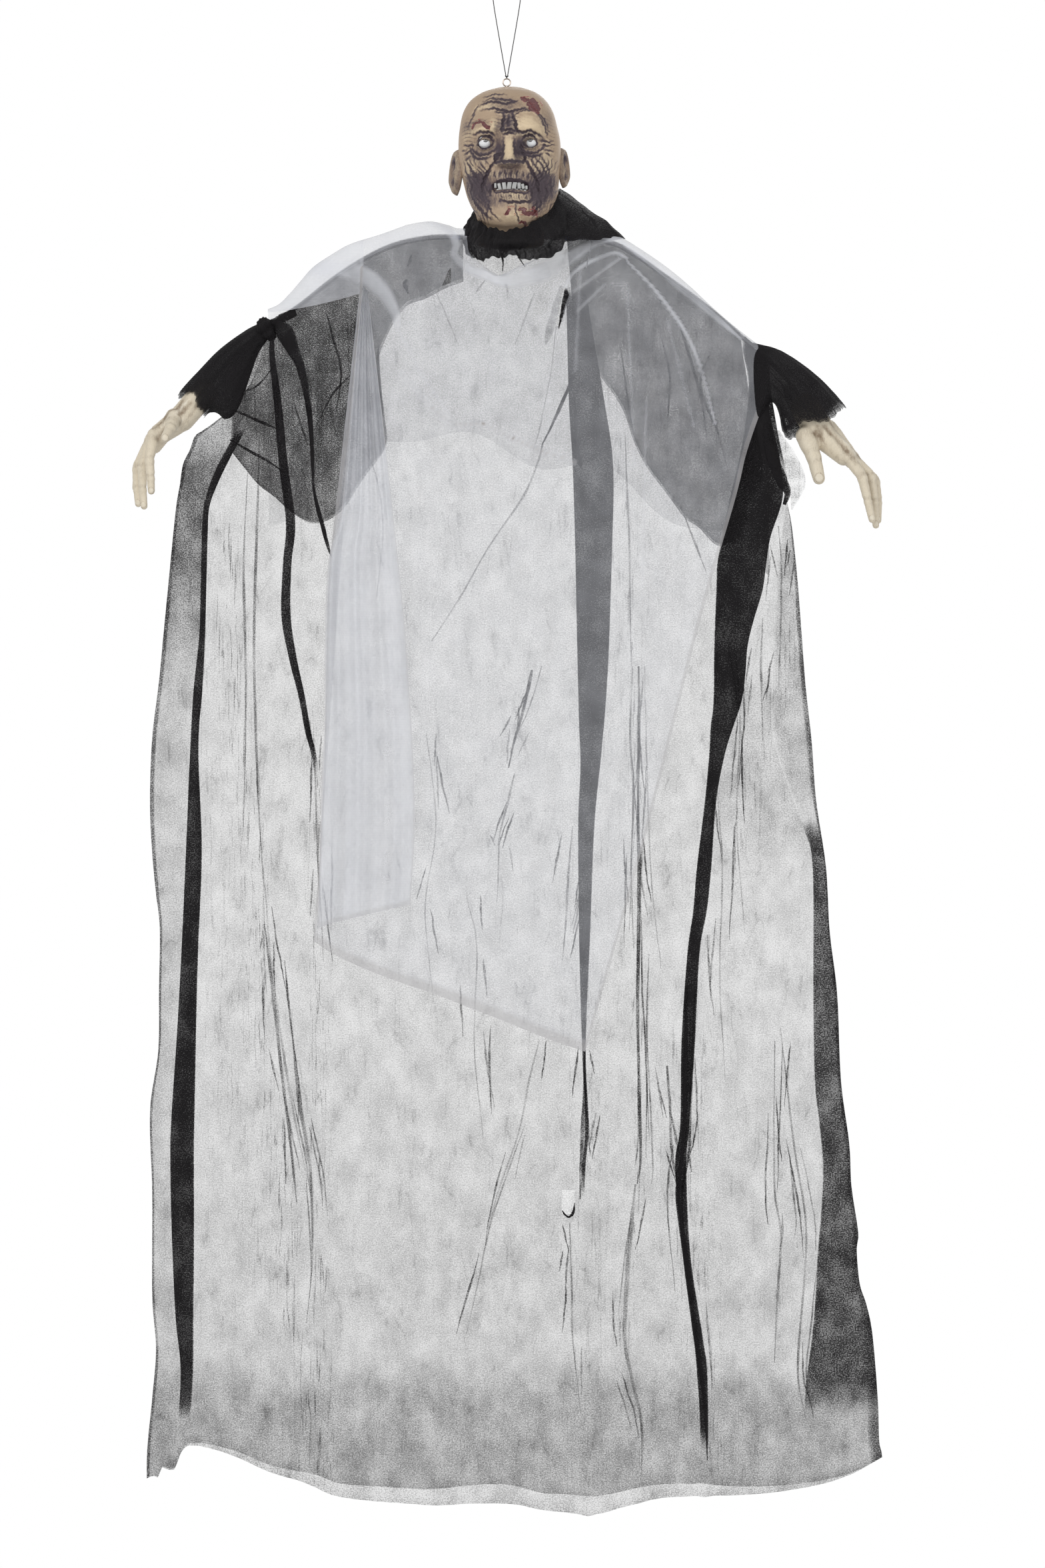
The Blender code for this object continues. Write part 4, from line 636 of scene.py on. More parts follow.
# Eyes. Painted balls set in the sockets, rolled up so that only the lower edge
# of the grey iris shows, under a clear gloss coat.
def eyeball(name, x, depth_below, roll):
    bpy.ops.object.select_all(action='DESELECT')
    bpy.ops.mesh.primitive_uv_sphere_add(segments=64, ring_count=40, radius=1.0)
    obj = bpy.context.object
    obj.name = name
    mesh = obj.data
    co = vertex_rows(mesh, "co")
    gaze = np.array([0.05, -np.cos(roll), np.sin(roll)])
    gaze /= np.linalg.norm(gaze)
    aim = np.arccos(np.clip(co @ gaze, -1, 1))
    ring = mesh.attributes.new("gaze", 'FLOAT', 'POINT')
    ring.data.foreach_set("value", aim.astype(np.float32))
    co = co * 0.0092 + np.array([HEAD_X + x, -0.0555, CROWN_Z - depth_below])
    mesh.vertices.foreach_set("co", co.astype(np.float32).ravel())
    mesh.materials.append(eye_paint)
    bpy.ops.object.shade_smooth()
    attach(obj, "root")
    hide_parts("head")
    return obj


eye_paint = plain_material("painted eye", (0.80, 0.81, 0.82), 0.25)
tree = eye_paint.node_tree
gaze = mask_node(tree, "gaze")
bands = tree.nodes.new("ShaderNodeValToRGB")
stops = bands.color_ramp.elements
stops[0].position = 0.10
stops[0].color = (0.02, 0.02, 0.025, 1)
stops[1].position = 0.62
stops[1].color = (0.82, 0.83, 0.84, 1)
for spot, color in ((0.14, (0.22, 0.22, 0.22)), (0.36, (0.13, 0.12, 0.12)), (0.42, (0.05, 0.045, 0.05)),
                    (0.46, (0.70, 0.72, 0.75))):
    stop = stops.new(spot)
    stop.color = (*color, 1)
tree.links.new(gaze, bands.inputs["Fac"])
tree.links.new(bands.outputs["Color"], tree.nodes["Principled BSDF"].inputs["Base Color"])
tree.nodes["Principled BSDF"].inputs["Coat Weight"].default_value = 0.5
tree.nodes["Principled BSDF"].inputs["Coat Roughness"].default_value = 0.08
eyeball("eye_left", -0.0322, 0.0792, 0.27)
eyeball("eye_right", 0.0268, 0.0787, 0.27)

# Teeth. Uneven worn moulded teeth behind the open lips, in grey-white paint.
tooth_paint = plain_material("tooth paint", (0.42, 0.42, 0.41), 0.35)
bpy.ops.object.select_all(action='DESELECT')
PIXEL = 0.0008874
MOUTH_ZOOM = 3.92
teeth = []
for k, (cx, cy, wide, tall) in enumerate((
        (404, 1040, 16, 34), (428, 1048, 22, 44), (455, 1044, 26, 52), (484, 1042, 28, 50),
        (514, 1040, 28, 46), (541, 1042, 22, 44), (563, 1046, 20, 40), (583, 1052, 16, 30),
        (418, 1068, 18, 18), (442, 1070, 20, 18), (468, 1072, 20, 16), (498, 1070, 24, 18),
        (526, 1070, 22, 18), (552, 1072, 20, 18), (574, 1072, 18, 16))):
    tooth_x = HEAD_X + (cx / MOUTH_ZOOM + 640 - 764) * PIXEL
    tooth_z = CROWN_Z - (cy / MOUTH_ZOOM + 20 - 130) * PIXEL
    off = (cx - 498) / 100
    bpy.ops.mesh.primitive_cube_add(size=1, location=(tooth_x, -0.0685 + 0.004 * off * off, tooth_z),
                                    rotation=(0.08 * math.sin(3 * k), 0.22 * math.sin(5 * k), 0.35 * off),
                                    scale=(wide * 0.000205, 0.0040,
                                           tall * 0.000210 * (1 + 0.14 * math.sin(7 * k))))
    tooth = bpy.context.object
    soften = tooth.modifiers.new("worn edges", 'BEVEL')
    soften.width = 0.0012
    soften.segments = 4
    teeth.append(tooth)
bpy.ops.object.select_all(action='DESELECT')
for tooth in teeth:
    tooth.select_set(True)
bpy.context.view_layer.objects.active = teeth[0]
bpy.ops.object.convert(target='MESH')
bpy.ops.object.join()
bpy.ops.object.transform_apply(location=True, rotation=True, scale=True)
teeth = bpy.context.object
teeth.name = "teeth"
teeth.data.materials.clear()
teeth.data.materials.append(tooth_paint)
bpy.ops.object.shade_smooth()
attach(teeth, "root")
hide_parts("head")

# Tape. Blue tape turns that hold the neck's place on the arm wire, kept as the
# source's own solids.
blue_tape = plain_material("blue tape", (0.06, 0.11, 0.36), 0.35)
for name in ("left_tape", "right_tape"):
    nodes[name].data.materials.clear()
    nodes[name].data.materials.append(blue_tape)

# Hands. Hollow moulded hands, one on each end of the arm wire: thin fingers with
# swollen knuckles, cream paint, and a brown wash along the tendons and nails
# that also carries painted shade in the grooves and knuckle creases, with
# painted highlights on the raised tendons, knuckles and nails.
hand_paint, hand_coat = painted_skin("painted hand", (0.74, 0.66, 0.52), (0.84, 0.78, 0.66),
                                     (0.21, 0.135, 0.075), 0.5, 320.0)


def hand(name, bones, nails, tendons):
    """Rounded bones melted into one skin, then carved along the tendons. Points are in mm."""
    bpy.ops.object.select_all(action='DESELECT')
    bones = [(*0.001 * np.array((a, b)), 0.001 * ra, 0.001 * rb) for a, b, ra, rb in bones]
    pieces = []
    for a, b, ra, rb in bones:
        a, b = Vector(a), Vector(b)
        for spot, radius in ((a, ra), (b, rb)):
            bpy.ops.mesh.primitive_uv_sphere_add(segments=28, ring_count=18, radius=radius, location=spot)
            pieces.append(bpy.context.object)
        bpy.ops.mesh.primitive_cone_add(vertices=28, radius1=ra, radius2=rb, depth=(b - a).length,
                                        location=(a + b) / 2,
                                        rotation=(b - a).to_track_quat('Z', 'Y').to_euler())
        pieces.append(bpy.context.object)
    bpy.ops.object.select_all(action='DESELECT')
    for piece in pieces:
        piece.select_set(True)
    bpy.context.view_layer.objects.active = pieces[0]
    bpy.ops.object.join()
    bpy.ops.object.transform_apply(location=True, rotation=True, scale=True)
    obj = bpy.context.object
    obj.name = name + "_shell"
    skin = obj.modifiers.new("skin", 'REMESH')
    skin.mode = 'VOXEL'
    skin.voxel_size = 0.00125
    melt = obj.modifiers.new("melt", 'SMOOTH')
    melt.factor = 0.5
    melt.iterations = 7
    bpy.ops.object.convert(target='MESH')
    mesh = obj.data
    mesh.name = name
    co = vertex_rows(mesh, "co")
    normal = vertex_rows(mesh, "normal")
    wash = np.full(len(co), 0.12)
    light = np.zeros(len(co))
    lift = np.zeros(len(co))
    for points, wide, deep, dark_wash_and_shade in tendons:
        line = 0.001 * smooth_line(points, 5)
        wide, deep = 0.001 * wide, 0.001 * deep
        best = np.full(len(co), 1.0)
        for a, b in zip(line, line[1:]):
            run = b - a
            t = np.clip(((co - a) @ run) / (run @ run), 0, 1)
            best = np.minimum(best, np.linalg.norm(co - a - t[:, None] * run, axis=1))
        groove = np.exp(-(best / wide) ** 2)
        lift -= deep * groove
        # Wash and painted shade in the grooves, painted highlight on the raised tendons.
        wash += 0.42 * dark_wash_and_shade * np.exp(-(best / (1.7 * wide)) ** 2)
        light += 0.5 * (deep < 0) * groove
    for a, b, ra, rb in bones[2:]:
        run = (b - a) / np.linalg.norm(b - a)
        far = np.linalg.norm(co - a, axis=1)
        along = (co - a) @ run
        knuckle = np.exp(-(far / (1.45 * ra)) ** 2)
        lift += 0.0006 * knuckle * np.cos(along / ra * 3.6 + 70 * ra * 9)
        # Painted shade in the knuckle creases, painted highlight on each knuckle.
        wash += 0.22 * knuckle * (0.5 - 0.5 * np.cos(along / ra * 3.6 + 70 * ra * 9)) * (far < 2.2 * ra)
        light += 0.3 * knuckle
    for spot, face, size in nails:
        spot, size = 0.001 * np.array(spot), 0.001 * size
        face = np.array(face) / np.linalg.norm(face)
        away = co - spot
        flat = away - (away @ face)[:, None] * face
        r = np.linalg.norm(flat, axis=1) / size
        facing = (normal @ face > 0.25) & (np.abs(away @ face) < 2.2 * size)
        plate = facing * ease((1.15 - r) / 0.2)
        lift += 0.0003 * plate
        wash += facing * 0.22 * np.exp(-((r - 1.15) / 0.16) ** 2)
        light += 0.4 * plate
    co = co + normal * lift[:, None]
    mesh.vertices.foreach_set("co", co.astype(np.float32).ravel())
    for key, values in (("wash", wash), ("light", np.clip(light, 0, 1))):
        layer = mesh.attributes.new(key, 'FLOAT', 'POINT')
        layer.data.foreach_set("value", values.astype(np.float32))
    mesh.materials.clear()
    mesh.materials.append(hand_paint)
    bpy.ops.object.shade_smooth()
    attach(obj, "root")
    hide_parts(name)
    return obj


hand("left_hand", [
    ((-403, 0, -547), (-433, -2, -582), 18.5, 17.5), ((-433, -4, -582), (-461, -10, -603), 17, 14),
    ((-442, -12, -582), (-469, -4, -618), 13, 10.5), ((-442, -20, -586), (-445, -44, -598), 10, 8),
    ((-445, -44, -598), (-451, -64, -611), 7.8, 6), ((-469, -16, -603), (-474, -30, -637), 8.5, 6.6),
    ((-474, -30, -637), (-472, -35, -660), 6.6, 5.6), ((-472, -35, -660), (-471, -36, -680), 5.7, 4.8),
    ((-472, -4, -607), (-485, -10, -646), 8.5, 6.6), ((-485, -10, -646), (-484, -13, -674), 6.6, 5.6),
    ((-484, -13, -674), (-482, -14, -699), 5.6, 4.7), ((-474, 8, -609), (-493, 8, -646), 8.2, 6.4),
    ((-493, 8, -646), (-493, 7, -673), 6.3, 5.3), ((-493, 7, -673), (-491, 6, -695), 5.3, 4.5),
    ((-472, 20, -607), (-493, 24, -641), 7.4, 5.6), ((-493, 24, -641), (-496, 24, -673), 5.6, 4.4)],
    [((-471, -42, -679), (0.1, -1, 0.1), 3.6), ((-483, -19, -697), (0, -1, 0.1), 3.4),
     ((-492, 1, -693), (-0.2, -1, 0.1), 3.2), ((-451, -70, -610), (0.1, -1, 0.4), 4.2)],
    [([(-421, -19, -563), (-442, -21, -587), (-465, -22, -611)], 2.4, 1.2, 0.9),
     ([(-426, -10, -556), (-451, -18, -579), (-474, -16, -605)], 2.4, 1.2, 0.9),
     ([(-408, -18, -559), (-422, -21, -584), (-435, -26, -593)], 2.4, 1, 0.7),
     ([(-423, -16, -559), (-447, -20, -584), (-470, -19, -609)], 2.2, -1.2, 0),
     ([(-437, 10, -568), (-461, 10, -589), (-479, 10, -609)], 2.6, 1.2, 0.8),
     ([(-445, -12, -614), (-456, -16, -621), (-461, -22, -632)], 2.2, 0.8, 0.8)])
hand("right_hand", [
    ((398, 0, -568), (419, -1, -602), 20, 20), ((415, -2, -600), (449, -6, -630), 18, 14.5),
    ((428, 6, -597), (461, 10, -637), 14.5, 11.2), ((398, -12, -606), (408, -24, -635), 14, 10),
    ((408, -24, -635), (414, -34, -663), 10, 8.2), ((453, -14, -632), (472, -21, -660), 8.8, 7),
    ((472, -21, -660), (479, -23, -690), 7, 5.8), ((479, -23, -690), (485, -24, -717), 5.8, 4.8),
    ((458, -2, -632), (484, -6, -658), 8.8, 7), ((484, -6, -658), (489, -8, -690), 7, 5.7),
    ((489, -8, -690), (491, -8, -724), 5.7, 4.7), ((461, 10, -634), (491, 10, -663), 8.4, 6.6),
    ((491, 10, -663), (495, 8, -690), 6.6, 5.5), ((495, 8, -690), (495, 6, -717), 5.5, 4.5),
    ((463, 22, -637), (489, 26, -667), 7.4, 5.6), ((489, 26, -667), (493, 24, -705), 5.6, 4.4)],
    [((485, -29, -715), (0, -1, 0.1), 3.6), ((491, -13, -722), (0.1, -1, 0.1), 3.4),
     ((495, 1, -715), (0.2, -1, 0.1), 3.2), ((414, -42, -662), (0, -1, 0.2), 5.2)],
    [([(422, -20, -593), (442, -19, -614), (463, -22, -642)], 2.4, 1.2, 0.9),
     ([(428, -18, -589), (447, -15, -611), (470, -13, -641)], 2.2, -1.2, 0),
     ([(431, -12, -586), (453, -8, -611), (477, -4, -641)], 2.4, 1.2, 0.9),
     ([(410, -20, -602), (426, -21, -625), (445, -20, -644)], 2.6, 1.4, 0.8),
     ([(414, -21, -593), (419, -23, -618), (419, -29, -637)], 2.2, 1, 0.7),
     ([(438, 8, -587), (461, 12, -616), (483, 14, -646)], 2.4, 1, 0.7)])

# Robe. Two wide panels of thin black non-woven cloth, joined at the sides and
# hung over the arm wire, with dense bunched pleats that run down from the arms.
LAYER = 0.0049
NECK_X = 0.004


def line_height(points):
    """z by x along a line drawn from left to right in mm."""
    dense = 0.001 * smooth_line([(x, 0, z) for x, z in points])
    return lambda x: np.interp(x, dense[:, 0], dense[:, 2])


def line_side(points):
    """x by z along a line drawn from top to bottom in mm."""
    dense = 0.001 * smooth_line([(x, 0, z) for x, z in points])
    return lambda z: np.interp(z, dense[::-1, 2], dense[::-1, 0])


def bump(t):
    return np.where(np.abs(t) < 1, np.cos(np.pi * np.clip(t, -1, 1) / 2) ** 2, 0.0)


def ramp(z, top, bottom):
    """1 from the height top down to the height bottom, eased at both ends."""
    return ease((top - z) / 0.03) * ease((z - bottom) / 0.05)


wire_height = line_height([
    (-428, -575), (-415, -559), (-390, -529), (-359, -495), (-315, -458), (-275, -431), (-221, -389),
    (-160, -355), (-106, -342), (-62, -341), (-40, -341), (4, -341), (49, -341), (80, -341), (115, -343),
    (156, -355), (213, -394), (266, -433), (316, -476), (350, -506), (382, -540), (401, -568), (417, -600)])
hem_height = line_height([
    (-484, -1997), (-472, -1989), (-463, -1990), (-461, -1977), (-445, -1980), (-437, -1959),
    (-426, -1947), (-399, -1949), (-356, -1961), (-307, -1982), (-258, -1993), (-225, -2007),
    (-171, -2013), (-106, -2017), (-53, -2014), (6, -2014), (46, -2022), (80, -2025), (108, -2029),
    (129, -2027), (148, -2022), (199, -2010), (256, -2007), (302, -2009), (354, -2007), (411, -1999),
    (444, -1991), (468, -1982), (500, -1965), (510, -1959)])

# Lines down the robe from seam to seam, x and z in mm
LINES = [line_side(points) for points in (
    # left side seam
    [(-325, -465), (-331, -495), (-348, -536), (-371, -566), (-396, -587), (-410, -597), (-421, -605),
     (-426, -623), (-434, -642), (-437, -669), (-441, -697), (-446, -751), (-451, -805), (-457, -868),
     (-463, -931), (-471, -995), (-474, -1042), (-475, -1101), (-472, -1161), (-467, -1214),
     (-462, -1260), (-463, -1342), (-464, -1423), (-475, -1504), (-472, -1613), (-472, -1749),
     (-467, -1819), (-472, -1885), (-479, -1961), (-478, -2039)],
    # left dark pleat, both edges
    [(-322, -469), (-327, -508), (-339, -550), (-359, -593), (-374, -623), (-391, -658), (-402, -694),
     (-405, -735), (-406, -784), (-408, -868), (-416, -947), (-421, -1042), (-426, -1161), (-432, -1287),
     (-438, -1396), (-445, -1504), (-447, -1559), (-445, -1667), (-440, -1776), (-433, -1857),
     (-442, -1977), (-444, -2039)],
    [(-319, -469), (-324, -513), (-334, -557), (-351, -600), (-367, -630), (-384, -666), (-396, -699),
     (-398, -735), (-399, -784), (-401, -868), (-405, -947), (-409, -990), (-410, -1042), (-406, -1161),
     (-411, -1287), (-414, -1396), (-416, -1504), (-417, -1559), (-417, -1667), (-418, -1776),
     (-419, -1857), (-426, -1977), (-427, -2039)],
    # left crinkle
    [(-319, -469), (-321, -508), (-328, -557), (-344, -612), (-364, -655), (-376, -708), (-374, -812),
     (-359, -982), (-338, -1082), (-331, -1267), (-312, -1504), (-293, -1667), (-290, -1776),
     (-266, -1847), (-253, -2039)],
    # pleat from the knot, both edges
    [(-317, -467), (-318, -491), (-310, -550), (-302, -642), (-292, -721), (-296, -776), (-298, -844),
     (-288, -900), (-275, -951), (-266, -998), (-256, -1042), (-251, -1134), (-256, -1356), (-245, -2039)],
    [(-311, -465), (-310, -491), (-300, -550), (-291, -642), (-281, -721), (-286, -776), (-287, -844),
     (-279, -900), (-268, -951), (-260, -998), (-251, -1042), (-247, -1134), (-250, -1356), (-240, -2039)],
    # pleat under the veil's point, both edges
    [(77, -362), (80, -415), (83, -557), (88, -646), (91, -745), (93, -844), (96, -982), (98, -1042),
     (95, -1122), (96, -1267), (100, -1419), (104, -1518), (99, -1597), (100, -1800), (105, -2039)],
    [(99, -362), (115, -469), (129, -557), (141, -646), (139, -765), (133, -923), (125, -1022),
     (115, -1122), (109, -1267), (103, -1419), (107, -1518), (102, -1597), (105, -1800), (109, -2039)],
    # double crease right of the middle
    [(129, -380), (151, -522), (156, -593), (155, -646), (159, -705), (167, -844), (167, -1003),
     (170, -1122), (173, -1267), (170, -1292), (174, -1405), (174, -1518), (177, -1574), (160, -1745),
     (154, -1801), (165, -1835), (177, -1943), (177, -2039)],
    # right dark pleat, both edges
    [(318, -491), (328, -529), (319, -593), (312, -630), (299, -685), (288, -739), (281, -776),
     (280, -811), (277, -884), (276, -957), (272, -993), (270, -1028), (264, -1090), (253, -1178),
     (248, -1235), (240, -1292), (232, -1405), (230, -1518), (223, -1574), (233, -1688), (248, -1801),
     (253, -1857), (256, -1914), (257, -2039)],
    [(343, -495), (347, -535), (352, -575), (364, -630), (368, -685), (351, -739), (345, -776),
     (340, -811), (329, -847), (320, -884), (317, -920), (312, -957), (300, -993), (289, -1028),
     (277, -1090), (270, -1178), (264, -1235), (254, -1292), (248, -1405), (240, -1518), (236, -1574),
     (241, -1688), (258, -1801), (264, -1857), (266, -2039)],
    # inner edge of the doubled strip at the lower right
    [(346, -496), (350, -536), (357, -584), (369, -637), (373, -685), (366, -735), (360, -793),
     (355, -866), (353, -938), (353, -993), (366, -1047), (395, -1125), (408, -1178), (409, -1348),
     (411, -1462), (417, -1518), (422, -1574), (420, -1631), (415, -1688), (412, -1745), (407, -1801),
     (397, -1886), (394, -2039)],
    # right side seam
    [(350, -497), (353, -538), (359, -575), (364, -606), (371, -642), (376, -677), (374, -692),
     (380, -725), (387, -793), (392, -859), (398, -938), (406, -1011), (412, -1090), (425, -1178),
     (430, -1264), (440, -1348), (445, -1462), (456, -1546), (459, -1603), (468, -1665), (466, -1688),
     (470, -1733), (479, -1761), (487, -1801), (494, -1886), (496, -1943), (500, -1965), (502, -2039)])]
TOPS = 0.001 * np.array([-321, -319, -318, -316, -314, -309, 77, 99, 129, 316, 341, 345, 349])
LAST = len(LINES) - 1


def between_lines(c, z):
    """x of the place c counts along the fold lines, at height z."""
    every = np.stack([line(z) for line in LINES])
    k = np.minimum(c.astype(int), LAST - 1)
    t = c - k
    at = np.arange(len(c))
    return (1 - t) * every[k, at] + t * every[k + 1, at]


def robe_depth(x, z):
    left = LINES[0](z)
    right = LINES[LAST](z)
    t = np.clip((x - left) / (right - left), 0, 1)
    drop = np.maximum(wire_height(x) - z, 0)
    return 0.105 * (1 - np.exp(-drop / 0.60)) * np.sin(np.pi * t) ** 1.4


def neck_share(x):
    return bump((x - NECK_X) / 0.075)


def soft_waves(x, z, drop, seed):
    """Low wide waves of hanging cloth that grow towards the hem."""
    rng = np.random.default_rng(seed)
    total = np.zeros_like(x)
    for _ in range(7):
        length = rng.uniform(0.07, 0.22)
        lean = rng.uniform(-0.12, 0.12)
        total += np.sin((x + lean * z) * 2 * np.pi / length + rng.uniform(0, 6.28)) * length
    return 0.018 * total * ease(drop / 0.5) * ease(robe_depth(x, z) / 0.05)


def panel_depth(x, z, c, drop, fold_share, seed):
    """How far a robe panel stands off the arm wire's plane."""
    lines = np.stack([line(z) for line in LINES])
    seam = ease(np.minimum(c / 0.8, (LAST - c) / 0.7))
    fold = np.zeros_like(z)
    for a, b, high in ((1, 2, 0.010), (4, 5, 0.006), (6, 7, 0.012), (9, 10, 0.014)):
        mid = (lines[a] + lines[b]) / 2
        half = (lines[b] - lines[a]) / 2 + 0.006
        fold += high * bump((x - mid) / half) ** 0.7
    fold += 0.006 * bump((x - lines[3]) / 0.020) + 0.006 * bump((x - lines[8]) / 0.016)
    ruffle = 0.0009 * np.sin(x * 190 + 5 * np.sin(z * 7)) + 0.0007 * np.sin(x * 310 - z * 21)
    share = seam + (1 - seam) * np.exp(-drop / 0.012)
    near = 0.0012 + (LAYER - 0.0012) * share + 0.055 * neck_share(x) ** 0.6 * np.exp(-drop / 0.25)
    return near + seam * (robe_depth(x, z) + (fold * fold_share + ruffle) * ease(drop / 0.12)
                          + soft_waves(x, z, drop, seed))


def spread_columns(key, counts):
    """Counts of columns between the key places, as one list of places."""
    parts = [np.linspace(a, b, n, endpoint=False) for a, b, n in zip(key, key[1:], counts)]
    return np.append(np.concatenate(parts), key[-1])


def cloth_piece(name, columns, rows, place, attributes, mat, remove=None, weld=False):
    """A cloth grid with its masks, cut away where the remove function says."""
    gone = []

    def whole(i, j):
        p, uv = place(i, j)
        if remove is not None:
            gone.append(remove(p, i, j))
        return p, uv, attributes(p, i, j)

    obj = formed_grid(name + "_cloth", columns, rows, whole, mat, False)
    mesh = obj.data
    bpy.ops.object.mode_set(mode='EDIT')
    bpy.ops.mesh.select_mode(type='VERT')
    bpy.ops.mesh.select_all(action='DESELECT')
    bpy.ops.object.mode_set(mode='OBJECT')
    marks = np.zeros(len(mesh.vertices), bool)
    marks[np.concatenate(gone + [np.zeros(0, int)])] = True
    mesh.vertices.foreach_set("select", marks)
    bpy.ops.object.mode_set(mode='EDIT')
    bpy.ops.mesh.delete(type='VERT')
    if weld:
        bpy.ops.mesh.select_all(action='SELECT')
        bpy.ops.mesh.remove_doubles(threshold=0.00002)
        bpy.ops.mesh.normals_make_consistent(inside=False)
    bpy.ops.object.mode_set(mode='OBJECT')
    return obj


# Shader effect for thin fibre cloth: short matted fibres, cloudy thick and thin
# places, and thread-like creases where the crease mask asks for them.
fibres = bpy.data.node_groups.new("matted fibres", 'ShaderNodeTree')
for key, low in (("Fibre Size", 900.0), ("Thin", 0.1), ("Thick", 0.6), ("Layers", 1.0),
                 ("Crease", 0.0)):
    socket = fibres.interface.new_socket(key, in_out='INPUT', socket_type='NodeSocketFloat')
    socket.default_value = low
fibres.interface.new_socket("Cover", in_out='OUTPUT', socket_type='NodeSocketFloat')
fibres.interface.new_socket("Height", in_out='OUTPUT', socket_type='NodeSocketFloat')
inside = fibres.nodes.new("NodeGroupInput")
outside = fibres.nodes.new("NodeGroupOutput")
where = fibres.nodes.new("ShaderNodeUVMap")
spot = where.outputs[0]
grain = add_node(fibres, "ShaderNodeTexNoise", [("Vector", spot), ("Scale", inside.outputs["Fibre Size"]),
                                                ("Detail", 2.5), ("Roughness", 0.7)])
drawn = add_node(fibres, "ShaderNodeMapping", [("Vector", spot), ("Scale", (1.25, 0.8, 1.0))])
clouds = add_node(fibres, "ShaderNodeTexNoise", [("Vector", drawn.outputs[0]), ("Scale", 24.0),
                                                 ("Detail", 6.0), ("Roughness", 0.66)])
cloud = add_node(fibres, "ShaderNodeMapRange", [("Value", clouds.outputs[0]), ("From Min", 0.30),
                                                ("From Max", 0.72), ("To Min", -0.11), ("To Max", 0.12)])
speck = math_node(fibres, 'ADD', grain.outputs[0], cloud.outputs[0])
matted = add_node(fibres, "ShaderNodeMapRange", [("Value", speck), ("From Min", 0.36), ("From Max", 0.66)])
matted.interpolation_type = 'SMOOTHSTEP'
span = math_node(fibres, 'SUBTRACT', inside.outputs["Thick"], inside.outputs["Thin"])
cover = math_node(fibres, 'MULTIPLY_ADD', matted.outputs[0], span)
fibres.links.new(inside.outputs["Thin"], cover.node.inputs[2])
stretch = add_node(fibres, "ShaderNodeMapping", [("Vector", spot), ("Scale", (330.0, 17.0, 1.0))])
threads = add_node(fibres, "ShaderNodeTexNoise", [
    ("Vector", stretch.outputs[0]), ("Scale", 1.0), ("Detail", 4.0), ("Roughness", 0.6), ("Distortion", 0.6)])
thread = add_node(fibres, "ShaderNodeMapRange", [("Value", threads.outputs[0]), ("From Min", 0.56),
                                                 ("From Max", 0.66)])
bent = add_node(fibres, "ShaderNodeMapping", [("Vector", spot), ("Scale", (24.0, 5.0, 1.0)),
                                              ("Rotation", (0, 0, 0.12))])
crumple = add_node(fibres, "ShaderNodeTexNoise", [
    ("Vector", bent.outputs[0]), ("Scale", 1.0), ("Detail", 2.5), ("Roughness", 0.55), ("Distortion", 0.9)])
off_middle = math_node(fibres, 'ABSOLUTE', math_node(fibres, 'SUBTRACT', crumple.outputs[0], 0.5))
ridge = add_node(fibres, "ShaderNodeMapRange", [("Value", off_middle), ("From Min", 0.0), ("From Max", 0.020),
                                                ("To Min", 1.0), ("To Max", 0.0)])
patchy = add_node(fibres, "ShaderNodeMapRange", [("Value", clouds.outputs[0]), ("From Min", 0.48),
                                                 ("From Max", 0.66)])
crinkle = math_node(fibres, 'MULTIPLY', ridge.outputs[0], patchy.outputs[0])
folded = math_node(fibres, 'MULTIPLY', thread.outputs[0], inside.outputs["Crease"])
crease = math_node(fibres, 'MULTIPLY_ADD', crinkle, 0.24)
fibres.links.new(folded, crease.node.inputs[2])
bunched = math_node(fibres, 'MULTIPLY_ADD', crease, 5.0)
fibres.links.new(inside.outputs["Layers"], bunched.node.inputs[2])
seen_through = math_node(fibres, 'POWER', math_node(fibres, 'SUBTRACT', 1.0, cover), bunched)
fibres.links.new(math_node(fibres, 'SUBTRACT', 1.0, seen_through, True), outside.inputs["Cover"])
fibres.links.new(math_node(fibres, 'ADD', grain.outputs[0], crease), outside.inputs["Height"])


def cloth_material(name, color, fibre_size, thin, thick, roughness, bump_depth):
    mat = plain_material(name, color, roughness)
    tree = mat.node_tree
    shader = tree.nodes["Principled BSDF"]
    group = tree.nodes.new("ShaderNodeGroup")
    group.node_tree = fibres
    for key, value in (("Fibre Size", fibre_size), ("Thin", thin), ("Thick", thick)):
        group.inputs[key].default_value = value
    for key in ("layers", "crease"):
        tree.links.new(mask_node(tree, key), group.inputs[key.capitalize()])
    tree.links.new(group.outputs["Cover"], shader.inputs["Alpha"])
    shader.inputs["Specular IOR Level"].default_value = 0.2
    add_relief(tree, group.outputs["Height"], 0.5, bump_depth)
    return mat


black_cloth = cloth_material("black fibre cloth", (0.0075, 0.0066, 0.0075), 560.0, 0.085, 0.30, 0.92, 0.0006)

ARC_ROWS = 6
PANEL_ROWS = 260
columns = spread_columns([0, 0.12, 0.985, 1, 1.15, 1.85, 2, 2.015, 2.6, 3, 3.5, 3.985, 4, 4.2, 4.8, 5, 5.002,
                          5.15, 5.85, 5.998, 6, 6.15, 6.85, 7, 7.02, 7.8, 8, 8.2, 8.985, 9, 9.15, 9.85, 10,
                          10.01, 10.5, 10.99, 11, 11.6, 12],
                         [3, 6, 1, 2, 3, 2, 1, 7, 6, 6, 6, 1, 1, 2, 1, 1, 6, 124, 6, 1, 2, 4, 2, 1, 6, 3,
                          3, 16, 1, 2, 6, 2, 1, 5, 5, 1, 5, 5])
hole_x = 0.080
hole_z = -1.620


